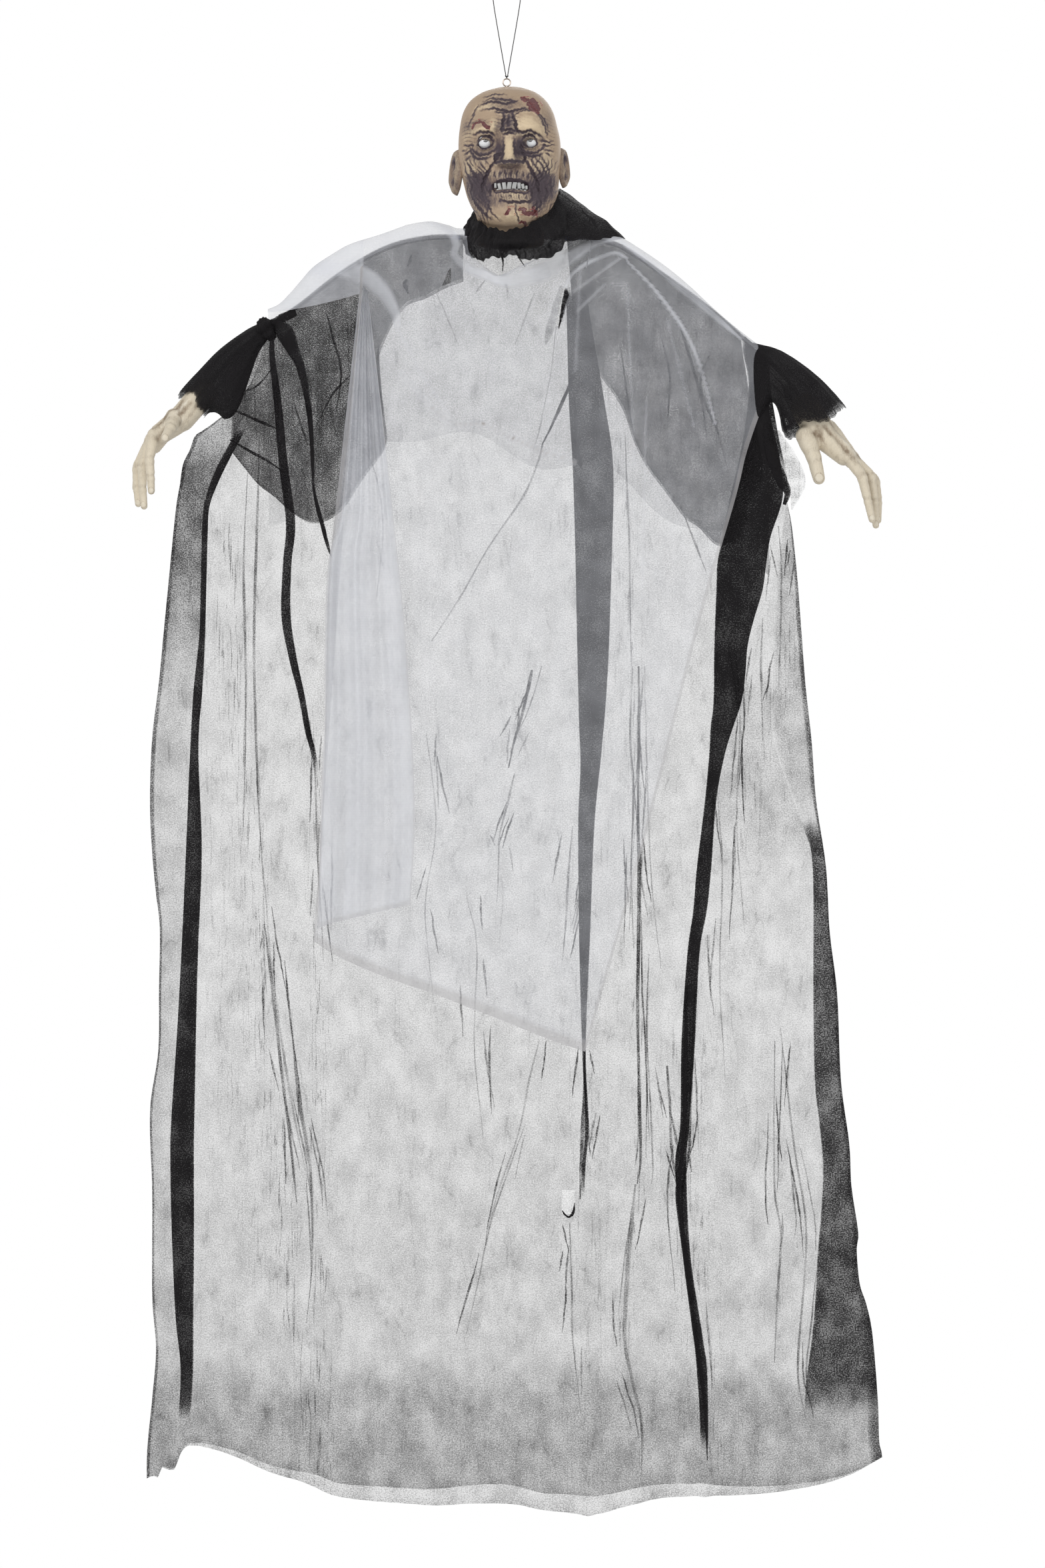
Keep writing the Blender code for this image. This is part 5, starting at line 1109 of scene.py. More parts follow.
def robe_panel(name, side, fold_share, seed):
    tops = np.interp(columns, np.arange(LAST + 1), TOPS)

    def place(i, j):
        c = columns[i]
        x0 = tops[i]
        share = neck_share(x0)
        push = 0.055 * share ** 0.6
        dip = (0.020 if side < 0 else 0.006) * share
        angle = np.pi / 2 * np.minimum(j / ARC_ROWS, 1)
        z = wire_height(x0) - dip + LAYER * np.cos(angle)
        y = push + LAYER * np.sin(angle)
        low = j > ARC_ROWS
        w = np.maximum(j - ARC_ROWS, 0) / (PANEL_ROWS - 1)
        w = 0.35 * w ** 2 + 0.65 * w
        start_z = wire_height(x0) - dip
        end_z = hem_height(between_lines(c, start_z - 1.75))
        zz = start_z + (end_z - start_z) * w
        drop = start_z - zz
        near_top = np.exp(-drop / 0.05)
        xx = x0 * near_top + between_lines(c, zz) * (1 - near_top)
        yy = panel_depth(xx, zz, c, drop, fold_share, seed)
        x = np.where(low, xx, x0)
        y = np.maximum(np.where(low, yy, y), 0.0008)
        z = np.where(low, zz, z)
        uv = np.stack([x + seed * 0.37, z + seed * 0.21], axis=1)
        return np.stack([x, side * y, z], axis=1), uv

    def masks(p, i, j):
        c = columns[i]
        x, z = p[:, 0], p[:, 2]
        lines = np.stack([line(z) for line in LINES])
        layers = np.ones_like(z)
        crease = np.full_like(z, 0.03)
        if side < 0:
            layers += np.where(c < 1, 1.5 * ramp(z, -0.522, -2.004) * (1 - 0.5 * ease((-0.868 - z) / 0.2)), 0)
            layers += np.where(c < 0.10, 5.0, 0) + np.where(c < 1, 5.5 * bump((z - -0.726) / 0.20), 0)
            layers += np.where((c >= 1) & (c <= 2), 26 * ramp(z, -0.593, -1.915), 0)
            layers += np.where((c >= 4) & (c <= 5), 24 * ramp(z, -0.451, -1.054), 0)
            layers += np.where((c >= 6) & (c <= 7), 20 * ramp(z, -0.406, -1.613), 0)
            layers += np.where((c >= 9) & (c <= 10), 28 * ramp(z, -0.473, -1.942), 0)
            layers += np.where(c >= 11, 11.0 * ramp(z, -1.116, -1.906), 0)
            layers += np.where(c > 9, 20 * ease((z - -0.646) / 0.03), 0)
            layers += np.where(c > 11.9, 6.0, 0) + np.where(c > 11, 1.2 * ramp(z, -0.646, -1.116), 0)
            layers += np.where((c >= 10) & (c < 11), 0.8 * ramp(z, -0.912, -1.178), 0)
            crease += 0.9 * bump((x - lines[3]) / 0.030) * ramp(z, -0.699, -2.013)
            crease += 0.8 * bump((x - lines[8]) / 0.014) * ramp(z, -0.593, -1.977)
            crease += 0.8 * bump((x - lines[5]) / 0.022) * ramp(z, -0.965, -2.004)
            crease += 0.6 * bump((x - lines[9] - 0.01) / 0.05) * ramp(z, -1.356, -2.004)
            crease += 0.6 * bump((x - lines[10] - 0.05) / 0.03) * ramp(z, -0.673, -1.178)
        else:
            crease += 0.25 * bump((x - lines[3] + 0.05) / 0.05) + 0.3 * bump((x - lines[7]) / 0.05)
        layers += 0.30 * ease((-1.223 - z) / 0.6) + 1.0 * ease((-1.826 - z) / 0.07)
        gather = ease((z - hem_height(x) - 0.006) / 0.004)
        layers += (1 - gather) * 0.9
        return {"layers": layers, "crease": np.clip(crease, 0, 1)}

    def hole(p, i, j):
        if side > 0:
            return np.zeros(0, int)
        x, z = p[:, 0], p[:, 2]
        return np.nonzero(((x - hole_x) / 0.0062) ** 2 + ((z - hole_z) / 0.0125) ** 2 < 1)[0]

    obj = cloth_piece(name, len(columns), ARC_ROWS + PANEL_ROWS, place, masks, black_cloth, hole)
    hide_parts(name)
    return obj


# Each small fold: how many layers it holds, then points as x and y in the photo's
# pixels with a half width in fold widths.
MIDDLE_PX = 760
TOP_PX = -28
FOLD_WIDTH = 0.0012
FOLD_DENSITY = 1.4
SMALL_FOLDS = [
    (16, [(750, 380, 1.6), (754, 396, 1.2), (754, 412, 0.4)]),
    (16, [(773, 380, 1.6), (780, 394, 1.2), (787, 405, 0.4)]),
    (3, [(728, 423, 0.4), (720, 433, 1.4), (713, 444, 0.3)]),
    (3, [(759, 430, 0.8), (761, 441, 1.0), (762, 453, 0.3)]),
    (2, [(655, 440, 0.5), (672, 480, 1.0), (688, 520, 0.3)]),
    (2, [(801, 443, 0.6), (788, 480, 1.0), (773, 522, 0.3)]),
    (16, [(862, 560, 0.4), (856, 574, 1.4), (838, 618, 1.9), (820, 655, 1.2), (812, 670, 0.5)]),
    (3, [(814, 668, 0.8), (806, 700, 1.2), (786, 746, 1.4), (760, 784, 1.0), (729, 830, 0.9),
         (694, 892, 0.8), (649, 963, 0.5)]),
    (2, [(834, 491, 0.5), (826, 560, 0.9), (810, 640, 0.9), (800, 680, 0.4)]),
    (28, [(861, 600, 0.3), (863, 630, 1.8), (864, 670, 2.4), (868, 690, 3.8), (872, 705, 0.6)]),
    (28, [(849, 434, 1.5), (849, 447, 3.6), (845, 462, 2.6), (841, 480, 1.8), (838, 496, 0.4)]),
    (2, [(843, 430, 2.0), (832, 470, 4.5), (822, 505, 3.5), (818, 520, 0.5)]),
    (8, [(798, 1006, 1.2), (793, 1028, 1.8), (782, 1076, 1.5), (770, 1118, 1.2), (763, 1152, 0.6)]),
    (3, [(772, 1160, 0.5), (762, 1202, 1.2), (751, 1247, 1.2), (749, 1281, 1.0), (745, 1351, 0.4)]),
    (3, [(812, 1000, 0.6), (795, 1060, 0.9), (776, 1100, 0.4)]),
    (3, [(858, 1238, 0.6), (852, 1308, 1.4), (849, 1365, 1.4), (843, 1438, 0.5)]),
    (7, [(956, 1000, 1.6), (957, 1100, 2.0), (956, 1220, 1.6), (957, 1295, 2.2), (956, 1400, 2.2),
         (955, 1500, 2.0), (957, 1590, 2.0), (960, 1725, 1.8), (955, 1770, 0.6)]),
    (3, [(947, 1000, 0.8), (944, 1100, 1.0), (949, 1200, 0.9), (946, 1300, 1.0), (949, 1420, 0.5)]),
    (2, [(966, 1000, 0.6), (970, 1150, 0.9), (976, 1320, 0.9), (990, 1450, 0.4)]),
    (8, [(876, 1560, 1.0), (875, 1650, 2.4), (872, 1720, 2.0), (870, 1790, 0.6)]),
    (28, [(842, 1808, 0.5), (850, 1817, 1.4), (858, 1812, 1.6), (861, 1796, 0.4)]),
    (3, [(853, 1825, 1.0), (856, 1900, 1.4), (858, 1990, 1.0), (870, 2110, 0.4)]),
    (3, [(952, 1770, 1.0), (944, 1850, 2.4), (940, 1900, 2.8), (935, 2000, 2.2), (946, 2060, 1.6),
         (960, 2125, 1.4), (960, 2200, 0.4)]),
    (16, [(1028, 1480, 1.2), (1026, 1600, 2.2), (1025, 1690, 1.8), (1018, 1760, 1.4),
          (1015, 1790, 2.6), (1028, 1890, 3.2), (1040, 1990, 3.0), (1055, 2100, 2.4),
          (1058, 2180, 0.6)]),
    (7, [(1042, 1480, 1.0), (1036, 1600, 1.6), (1032, 1720, 1.4), (1020, 1780, 0.6)]),
    (5, [(1000, 1595, 1.0), (1003, 1660, 1.6), (1006, 1720, 1.6), (1016, 1782, 0.5)]),
    (3, [(1162, 1560, 0.6), (1160, 1700, 1.2), (1161, 1790, 1.4), (1170, 1850, 1.2),
         (1164, 1950, 1.2), (1160, 2040, 0.4)]),
    (3, [(1170, 1540, 0.5), (1190, 1715, 1.4), (1207, 1820, 1.4), (1207, 1900, 1.4),
         (1195, 2050, 1.2), (1207, 2125, 0.4)]),
    (28, [(416, 482, 5.0), (428, 500, 10.0), (440, 526, 6.5), (451, 552, 4.6), (461, 600, 3.6),
          (467, 647, 2.9), (470, 700, 2.2), (472, 739, 1.8), (482, 780, 2.7), (490, 810, 2.2),
          (498, 836, 0.6)]),
    (26, [(404, 486, 3.0), (422, 478, 5.0), (444, 468, 4.0)]),
    (28, [(617, 382, 0.5), (615, 390, 1.6), (612, 400, 0.6)]),
    (28, [(610, 419, 1.0), (607, 428, 2.4), (612, 441, 0.8)]),
    (4, [(388, 660, 0.5), (386, 780, 1.6), (382, 980, 1.4), (388, 1180, 1.2), (398, 1330, 0.5)]),
    (4, [(372, 700, 0.5), (366, 860, 1.2), (370, 1040, 1.2), (366, 1240, 0.5)]),
    (5, [(398, 1380, 0.6), (410, 1480, 2.0), (424, 1600, 2.0), (436, 1700, 1.6), (446, 1800, 0.5)]),
    (4, [(440, 1560, 0.6), (452, 1660, 2.0), (468, 1760, 1.6), (470, 1880, 1.0), (462, 1980, 0.4)]),
    (3, [(466, 1080, 0.5), (474, 1160, 1.2), (480, 1320, 1.0), (486, 1440, 0.4)]),
    (14, [(345, 612, 0.8), (380, 628, 1.6), (420, 645, 0.6)]),
    (14, [(345, 660, 0.8), (385, 682, 1.8), (424, 706, 0.6)]),
    (2, [(396, 1300, 0.6), (404, 1400, 1.4), (411, 1465, 1.4), (436, 1631, 1.4), (460, 1753, 0.4)]),
    (2, [(809, 1555, 0.6), (793, 1619, 1.4), (777, 1695, 1.2), (742, 1797, 1.0), (720, 1900, 0.8),
         (700, 1990, 0.3)]),
    (10, [(350, 560, 0.6), (372, 548, 1.4), (392, 520, 0.5)]),
    (10, [(352, 588, 0.6), (385, 580, 1.2), (412, 548, 0.4)]),
    (8, [(440, 600, 0.4), (452, 640, 1.2), (462, 668, 0.4)]),
    (10, [(490, 470, 0.5), (500, 510, 1.6), (512, 560, 1.2), (504, 620, 0.4)]),
    (8, [(530, 560, 0.4), (500, 590, 1.4), (476, 640, 0.5)]),
    (10, [(1010, 470, 0.5), (1030, 520, 1.5), (1052, 600, 1.3), (1060, 660, 0.4)]),
    (10, [(990, 500, 0.4), (1004, 560, 1.3), (1000, 640, 0.5)]),
    (10, [(1070, 520, 0.4), (1050, 580, 1.4), (1076, 650, 1.2), (1090, 700, 0.4)]),
    (8, [(930, 520, 0.4), (938, 580, 1.2), (950, 650, 0.4)]),
    (30, [(1150, 636, 5.0), (1153, 665, 6.0), (1161, 695, 7.0), (1173, 722, 7.0), (1181, 738, 4.0),
          (1176, 757, 2.0)]),
    (1.8, [(1166, 646, 3.0), (1182, 684, 9.0), (1192, 722, 12.0), (1192, 745, 6.0), (1188, 764, 1.0)]),
    (3, [(937, 655, 0.6), (939, 720, 1.2), (942, 800, 1.4), (944, 900, 1.2), (946, 1000, 0.8)]),
    (4, [(1018, 754, 0.5), (1038, 806, 1.3), (1052, 840, 0.9), (1060, 860, 0.3)]),
    (3, [(1143, 927, 0.8), (1141, 1010, 1.4), (1143, 1091, 0.5)]),
    (3, [(1168, 789, 0.7), (1172, 866, 1.2), (1168, 1029, 0.5)]),
    (2, [(520, 640, 0.5), (560, 700, 1.0), (575, 790, 0.9), (566, 900, 0.4)]),
    (2, [(640, 1100, 0.4), (655, 1230, 0.9), (640, 1360, 0.9), (650, 1500, 0.4)]),
    (2, [(700, 1340, 0.4), (716, 1420, 1.0), (712, 1560, 0.9), (725, 1700, 0.4)]),
    (2, [(1100, 960, 0.4), (1110, 1080, 1.0), (1104, 1240, 0.9), (1116, 1400, 0.4)]),
    (2, [(1075, 1180, 0.4), (1082, 1300, 0.9), (1078, 1460, 0.9), (1086, 1620, 0.4)])]
STRIP_ROWS = 36


def fold_strips():
    """Small pinched folds that stand a little off the front panel."""
    lanes = np.array([-1, -0.45, 0.1, 0.6, 1, 1])
    lane_layers = np.array([0.25, 0.9, 1.0, 1.0, 0.7, 0])
    rng = np.random.default_rng(5)
    folds = list(SMALL_FOLDS)
    for _, points in SMALL_FOLDS:
        path = np.array(points)
        if path[0, 1] < 750 or path[-1, 1] - path[0, 1] < 110:
            continue
        for _ in range(5):
            start, length = rng.uniform(0, 0.75), rng.uniform(0.12, 0.4)
            at = np.linspace(start, min(start + length, 1), 4) * (len(path) - 1)
            run = np.stack([np.interp(at, range(len(path)), path[:, k]) for k in (0, 1)], axis=1)
            away = rng.choice([-1, 1]) * rng.uniform(3, 20)
            run[:, 0] += away + np.linspace(-4, 4, 4) * rng.choice([-1, 1])
            folds.append((rng.uniform(2.5, 8), [(x, y, half) for (x, y), half
                                                in zip(run, (0.3, 1.1, 0.9, 0.3))]))
    lines = []
    for _, points in folds:
        raw = smooth_line([(PIXEL * (x - MIDDLE_PX), PIXEL * (TOP_PX - y), FOLD_WIDTH * half)
                           for x, y, half in points], 16)
        at = np.linspace(0, len(raw) - 1, STRIP_ROWS)
        line = np.stack([np.interp(at, np.arange(len(raw)), raw[:, k]) for k in range(3)], axis=1)
        shake = np.convolve(rng.normal(0, 1, STRIP_ROWS + 8), np.ones(9) / 3, 'valid')
        swell = np.convolve(rng.normal(0, 1, STRIP_ROWS + 10), np.ones(11) / 3.3, 'valid')
        line[:, 0] += 0.00035 * shake
        line[:, 2] *= 1 + 0.22 * swell / (1 + 400 * line[:, 2])
        lines.append(line)
    lines = np.array(lines)
    run = np.gradient(lines[:, :, :2], axis=1)
    run /= np.linalg.norm(run, axis=2, keepdims=True)

    def place(i, j):
        k, lane = i // 6, i % 6
        mid = lines[k, j]
        off = lanes[lane] * np.maximum(mid[:, 2], 0.0002)
        x = mid[:, 0] + off * run[k, j, 1]
        z = mid[:, 1] - off * run[k, j, 0]
        every = np.stack([line(z) for line in LINES])
        widths = np.diff(every, axis=0)
        widths[widths == 0] = 1e-9
        c = np.clip((x - every[:-1]) / widths, 0, 1).sum(axis=0)
        drop = np.maximum(wire_height(x) - z, 0)
        rise = 0.0005 + 0.45 * mid[:, 2] * (1 - lanes[lane] ** 2)
        y = panel_depth(x, z, c, drop, 1.0, 3) + rise
        return np.stack([x, -y, z], axis=1), np.stack([x + 0.9, z + 0.4], axis=1)

    def masks(p, i, j):
        strength = np.array([s for s, _ in folds], float)[i // 6]
        broken = 0.75 + 0.35 * np.sin(j * 0.9 + i // 6) * np.sin(j * 0.37 + 2.0 * (i // 6))
        return {"layers": FOLD_DENSITY * strength * lane_layers[i % 6] * broken,
                "crease": np.full(len(p), 0.25)}

    def apart(p, i, j):
        return np.nonzero(i % 6 == 5)[0]

    return cloth_piece("small_folds", 6 * len(folds), STRIP_ROWS, place, masks, black_cloth, apart)


robe_front = robe_panel("robe_front", -1, 1.0, 3)
small_folds = fold_strips()
bpy.ops.object.select_all(action='DESELECT')
small_folds.select_set(True)
robe_front.select_set(True)
bpy.context.view_layer.objects.active = robe_front
bpy.ops.object.join()
robe_panel("robe_back", 1, 0.5, 8)

# Bell sleeves. A second layer of the same cloth inside each half of the robe,
# folded over the wire, with an arched lower edge that shows as a darker area.
sleeve_cloth = cloth_material("sleeve fibre cloth", (0.0075, 0.0066, 0.0075), 640.0, 0.08, 0.42, 0.92, 0.0006)


def bell_sleeve(name, x_first, x_last, lower_points, seed):
    count, half = 110, 70
    arc = 6
    xs = np.linspace(x_first, x_last, count)
    lower = 0.001 * smooth_line([(x, 0, z) for x, z in lower_points], 20)
    steps = np.concatenate([[0], np.cumsum(np.linalg.norm(np.diff(lower, axis=0), axis=1))])
    ends = np.stack([np.interp(np.linspace(0, steps[-1], count), steps, lower[:, k])
                     for k in (0, 2)], axis=1)

    def place(i, j):
        side = np.where(j > half, -1.0, 1.0)
        step = np.abs(j - half)
        angle = np.pi / 2 * np.minimum(step / arc, 1)
        w = np.maximum(step - arc, 0) / (half - arc)
        x0 = xs[i]
        z0 = wire_height(x0) + 0.0034 * np.cos(angle) * 1.15
        z = z0 + (ends[i, 1] - z0) * w
        x = x0 + (ends[i, 0] - x0) * w
        wave = 0.0016 * np.sin(x * 95 + seed) * np.sin(z * 31) * ease(w * 3)
        y = 0.0034 * np.sin(angle) + 0.35 * robe_depth(x, z) * ease(w * 2) + wave
        return (np.stack([x, side * np.maximum(y, 0.0004 * step), z], axis=1),
                np.stack([x + seed, z + 0.5 * side], axis=1))

    def masks(p, i, j):
        step = np.abs(j - half)
        edge = ease((step - half + 1.5) / 1.0)
        layers = 2.9 + 1.0 * edge
        crease = 0.16 + 0.30 * bump((step / half - 0.5) / 0.5)
        return {"layers": layers, "crease": crease * np.ones_like(layers)}

    obj = cloth_piece(name, count, 2 * half + 1, place, masks, sleeve_cloth)
    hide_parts(name)
    return obj


left_sleeve = bell_sleeve("left_sleeve", -0.364, -0.058, [
    (-366, -626), (-351, -645), (-331, -669), (-310, -685), (-285, -707), (-257, -720), (-223, -705),
    (-191, -659), (-162, -617), (-163, -579), (-174, -525), (-170, -495), (-156, -461), (-143, -440),
    (-130, -427), (-109, -420), (-82, -406), (-58, -397)], 1.3)
right_sleeve = bell_sleeve("right_sleeve", 0.080, 0.311, [
    (91, -469), (99, -495), (124, -522), (154, -566), (170, -611), (188, -646), (218, -686), (238, -713),
    (256, -725), (284, -750), (311, -726), (337, -646)], 2.9)

# Cuffs. The sleeves' ends, several layers of the same cloth bunched into dense
# black tubes, gathered on the wire at the inner end and loose at the wrist.
dense_cloth = cloth_material("bunched black cloth", (0.0075, 0.0066, 0.0075), 800.0, 0.55, 0.95, 0.9, 0.0008)


def tube_frames(line):
    out = []
    points = np.array([(x, 0, float(wire_height(x))) for x in line])
    for k in range(len(points)):
        ahead = points[min(k + 1, len(points) - 1)] - points[max(k - 1, 0)]
        ahead /= np.linalg.norm(ahead)
        out.append((points[k], ahead, np.cross(ahead, (0, 1, 0))))
    return [np.array(part) for part in zip(*out)]


def cuff(name, line, radii, pleats, seed, droop, tear=None):
    count, rows = 160, 90
    at = np.linspace(0, len(line) - 1, rows)
    sizes = 0.001 * smooth_line(radii, 20)
    spots = np.linspace(0, len(line) - 1, len(sizes))
    wide, tall = (np.interp(at, spots, sizes[:, k]) for k in (0, 1))
    middle, ahead, up = tube_frames(0.001 * np.interp(at, range(len(line)), line))
    rng = np.random.default_rng(seed)
    turns = rng.uniform(0, 6.28, 6)

    def place(i, j):
        angle = 2 * np.pi * i / (count - 1)
        w = j / (rows - 1)
        fold = sum(np.sin(n * angle + turns[k] + 3 * w * (k - 2)) / n ** 0.7
                   for k, n in enumerate(pleats))
        sharp = np.sign(fold) * np.abs(fold) ** 0.8
        ripple = 1 + 0.075 * sharp * ease((w - 0.08) / 0.3)
        spread = ripple[:, None] * (np.array([0, 1.0, 0]) * (wide[j] * np.cos(angle))[:, None]
                                    + up[j] * (tall[j] * np.sin(angle))[:, None])
        rim = 0.006 * np.sin(2 * angle + seed) + 0.003 * np.sin(5 * angle) + 0.0012 * np.sin(23 * angle)
        slide = ahead[j] * (rim * ease((w - 0.75) / 0.25))[:, None]
        lower = np.clip(-np.sin(angle) * np.sign(up[j][:, 2]), 0, 1)
        slack = droop[0] * bump((w - droop[1]) / droop[2]) ** 1.3 * lower ** 2
        slide = slide - slack[:, None] * np.array([0, 0.25, 1])
        return (middle[j] + spread + slide,
                np.stack([angle * 0.03 + seed, w * 0.13], axis=1))

    def masks(p, i, j):
        w = j / (rows - 1)
        ragged = ease((w - 0.955) / 0.045)
        return {"layers": 2.2 - 1.5 * ragged, "crease": 0.55 - 0.3 * w}

    obj = cloth_piece(name, count, rows, place, masks, dense_cloth, tear, True)
    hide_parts(name)
    return obj


left_cuff = cuff("left_cuff", [-309, -316, -325, -335, -351, -373, -394, -408, -416], [
    (5, 6), (7, 8), (10, 12), (12.5, 15), (15, 18), (19.5, 21.5), (21.5, 22.5), (22.5, 23.5), (22.5, 23.5)],
    (3, 5, 8, 13), 4, (0.046, 0.66, 0.30))


def right_tear(p, i, j):
    """A slit and a small hole in the worn rim of the right cuff."""
    angle = 2 * np.pi * i / 159
    w = j / 89
    slit = (np.abs(angle - 4.62 - 0.25 * w) < 0.07 * ease((w - 0.80) / 0.1)) & (w > 0.80) & (w < 0.97)
    second = (np.abs(angle - 4.02) < 0.05) & (w > 0.88) & (w < 0.95)
    return np.nonzero(slit | second)[0]


right_cuff = cuff("right_cuff", [325, 332, 341, 351, 367, 385, 399, 410], [
    (4, 4.5), (7, 9), (13, 15), (18, 21), (23, 28), (27, 35), (30, 41), (33, 45)],
    (2, 4, 7, 11), 9, (0.068, 0.34, 0.42), right_tear)

# Knot on the left sleeve. A strip of the same cloth wound round the gathered
# sleeve end and knotted, with two short tails.
knot_x = -0.319
knot_at = np.array([knot_x, -0.002, float(wire_height(knot_x)) - 0.001])
lay = np.arctan2(float(wire_height(knot_x + 0.006)) - float(wire_height(knot_x - 0.006)), 0.012)


def knot_place(i, j):
    around = 2 * np.pi * i / 119
    across = 2 * np.pi * j / 47
    ring = 0.0105 + 0.0022 * np.sin(3 * around + 0.7) + 0.0012 * np.sin(7 * around)
    thick = 0.0052 + 0.0012 * np.sin(2 * around + 2) + 0.0006 * np.sin(9 * across + 4 * around)
    out = ring + thick * np.cos(across)
    along = 1.5 * thick * np.sin(across) + 0.003 * np.sin(around + 1)
    y = out * np.cos(around)
    z = out * np.sin(around)
    spin = np.stack([along * np.cos(lay) - z * np.sin(lay), y,
                     along * np.sin(lay) + z * np.cos(lay)], axis=1)
    return spin + knot_at, np.stack([around * 0.012, across * 0.006], axis=1)


cuff_tie = cloth_piece("cuff_tie", 120, 48, knot_place,
                       lambda p, i, j: {"layers": np.full(len(p), 3.0), "crease": np.full(len(p), 0.6)},
                       dense_cloth, None, True)
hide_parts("cuff_tie")

# Collar. A cowl of the same cloth in several layers, drawn in under the chin,
# with its right side pulled up behind the head as a loose flap.
# Collar shape by turn in degrees: its rim, then its base, as x, z and y in mm
COLLAR = [
    (-180, 4, -291, 62, 4, -335, 68), (-135, -34, -296, 44, -39, -337, 52),
    (-90, -43, -309, 2, -50, -362, -6), (-45, -28, -329, -50, -34, -376, -64),
    (0, 3, -337, -71, 2, -372, -80), (45, 41, -322, -58, 46, -376, -70),
    (75, 64, -291, -22, 85, -350, -40), (95, 69, -279, -2, 135, -342, -12),
    (115, 67, -277, 20, 151, -341, 14), (150, 41, -282, 52, 80, -337, 60), (180, 4, -291, 62, 4, -335, 68)]
collar_keys = 0.001 * smooth_line([(1000 * math.radians(key[0]), *key[1:]) for key in COLLAR], 12)


def collar_place(i, j):
    angle = 2 * np.pi * i / 287 - np.pi
    w = np.minimum(j / 63, 1)
    inner = np.maximum(j - 63, 0) / 16
    rim_x, rim_z, rim_y, base_x, base_z, base_y = (
        np.interp(angle, collar_keys[:, 0], collar_keys[:, k]) for k in range(1, 7))
    side = np.sin(angle)
    ahead = np.cos(angle)
    belly = 0.0075 * np.sin(np.pi * w) + 0.0045 * np.exp(-((w - 0.62) / 0.12) ** 2) * ahead.clip(0)
    tuck = 0.0040 * np.exp(-((w - 0.40) / 0.07) ** 2) * ahead.clip(0)
    pleat = (0.0030 * np.sin(7 * angle + 3 * w) + 0.0024 * np.sin(13 * angle - 4 * w + 1)
             + 0.0014 * np.sin(29 * angle + 6 * w) + 0.0008 * np.sin(53 * angle - 9 * w))
    drape = 0.0022 * np.sin(9 * w + 2.5 * np.sin(2 * angle)) + 0.0012 * np.sin(23 * w + 3 * angle)
    out = belly - tuck + pleat * (1 - 0.55 * w) + drape * np.sin(np.pi * w) - 0.004 * ease(inner * 2)
    x = base_x + (rim_x - base_x) * w + out * side
    z = base_z + (rim_z - base_z) * w ** (1 + 0.5 * ahead.clip(0)) - 0.028 * inner
    z = z + (0.0016 * np.sin(11 * angle) + 0.0010 * np.sin(31 * angle + 1)) * (1 - np.sin(np.pi * w))
    y = base_y + (rim_y - base_y) * w - out * ahead
    return np.stack([x, y, z], axis=1), np.stack([angle * 0.06, w * 0.07 + inner * 0.03], axis=1)


def collar_masks(p, i, j):
    angle = 2 * np.pi * i / 287 - np.pi
    w = np.minimum(j / 63, 1)
    flap = bump((angle - 1.9) / 0.75)
    thin_top = ease((0.25 - w) / 0.25) * ease((angle + 1.2) / -0.3 + 1.5)
    layers = 2.6 - 1.9 * flap * ease(w * 1.3 + 0.1) - 1.2 * thin_top
    return {"layers": np.clip(layers, 0.5, 3), "crease": 0.4 + 0.3 * np.cos(angle).clip(0)}


collar = cloth_piece("collar", 288, 80, collar_place, collar_masks, dense_cloth, None, True)
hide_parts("collar")

# Veil. One wide piece of sheer pale voile laid over both arms, parted at the
# neck, with a long front panel that ends in a slanting hem.
def voile_material(name, color, thin, thick):
    mat = plain_material(name, color, 0.75)
    tree = mat.node_tree
    shader = tree.nodes["Principled BSDF"]
    where = tree.nodes.new("ShaderNodeUVMap")
    spot = where.outputs[0]
    cloud = add_node(tree, "ShaderNodeTexNoise", [("Vector", spot), ("Scale", 30.0), ("Detail", 4.0)])
    weave = add_node(tree, "ShaderNodeTexWave", [("Vector", spot), ("Scale", 260.0), ("Distortion", 0.6),
                                                 ("Detail", 1.0)])
    weave.bands_direction = 'Y'
    mixed = math_node(tree, 'MULTIPLY_ADD', weave.outputs["Fac"], 0.14)
    tree.links.new(cloud.outputs[0], mixed.node.inputs[2])
    cover = add_node(tree, "ShaderNodeMapRange", [("Value", mixed), ("From Min", 0.30), ("From Max", 0.78),
                                                  ("To Min", thin), ("To Max", thick)])
    gap = math_node(tree, 'SUBTRACT', 1.0, cover.outputs[0])
    left_open = math_node(tree, 'POWER', gap, mask_node(tree, "layers"))
    tint = paint_over(tree, color, (0.36, 0.33, 0.31), mask_node(tree, "shade"))
    tree.links.new(tint, shader.inputs["Base Color"])
    tree.links.new(math_node(tree, 'SUBTRACT', 1.0, left_open, True), shader.inputs["Alpha"])
    add_relief(tree, weave.outputs["Fac"], 0.4, 0.0004)
    return mat


voile = voile_material("pale voile", (0.71, 0.725, 0.775), 0.17, 0.27)
veil_left = line_side([
    (-199, -415), (-206, -557), (-224, -698), (-236, -806), (-241, -1042), (-250, -1214), (-256, -1285)])
veil_right = line_side([
    (291, -442), (350, -494), (334, -529), (323, -576), (310, -664), (257, -850), (177, -1161),
    (100, -1431)])
veil_hem = line_height([
    (-266, -1271), (-256, -1276), (-225, -1296), (-171, -1320), (-106, -1344), (-21, -1376), (46, -1402),
    (100, -1419), (124, -1427)])
VEIL_LAYER = 0.0070
VEIL_BACK = 40
VEIL_ARC = 8
VEIL_FRONT = 170
veil_tops = np.linspace(-0.318, 0.350, 334)
SHORT = int(np.searchsorted(veil_tops, -0.195))
short_edge = line_height([
    (-324, -442), (-318, -441), (-298, -439), (-282, -437), (-250, -431), (-217, -423), (-189, -415)])
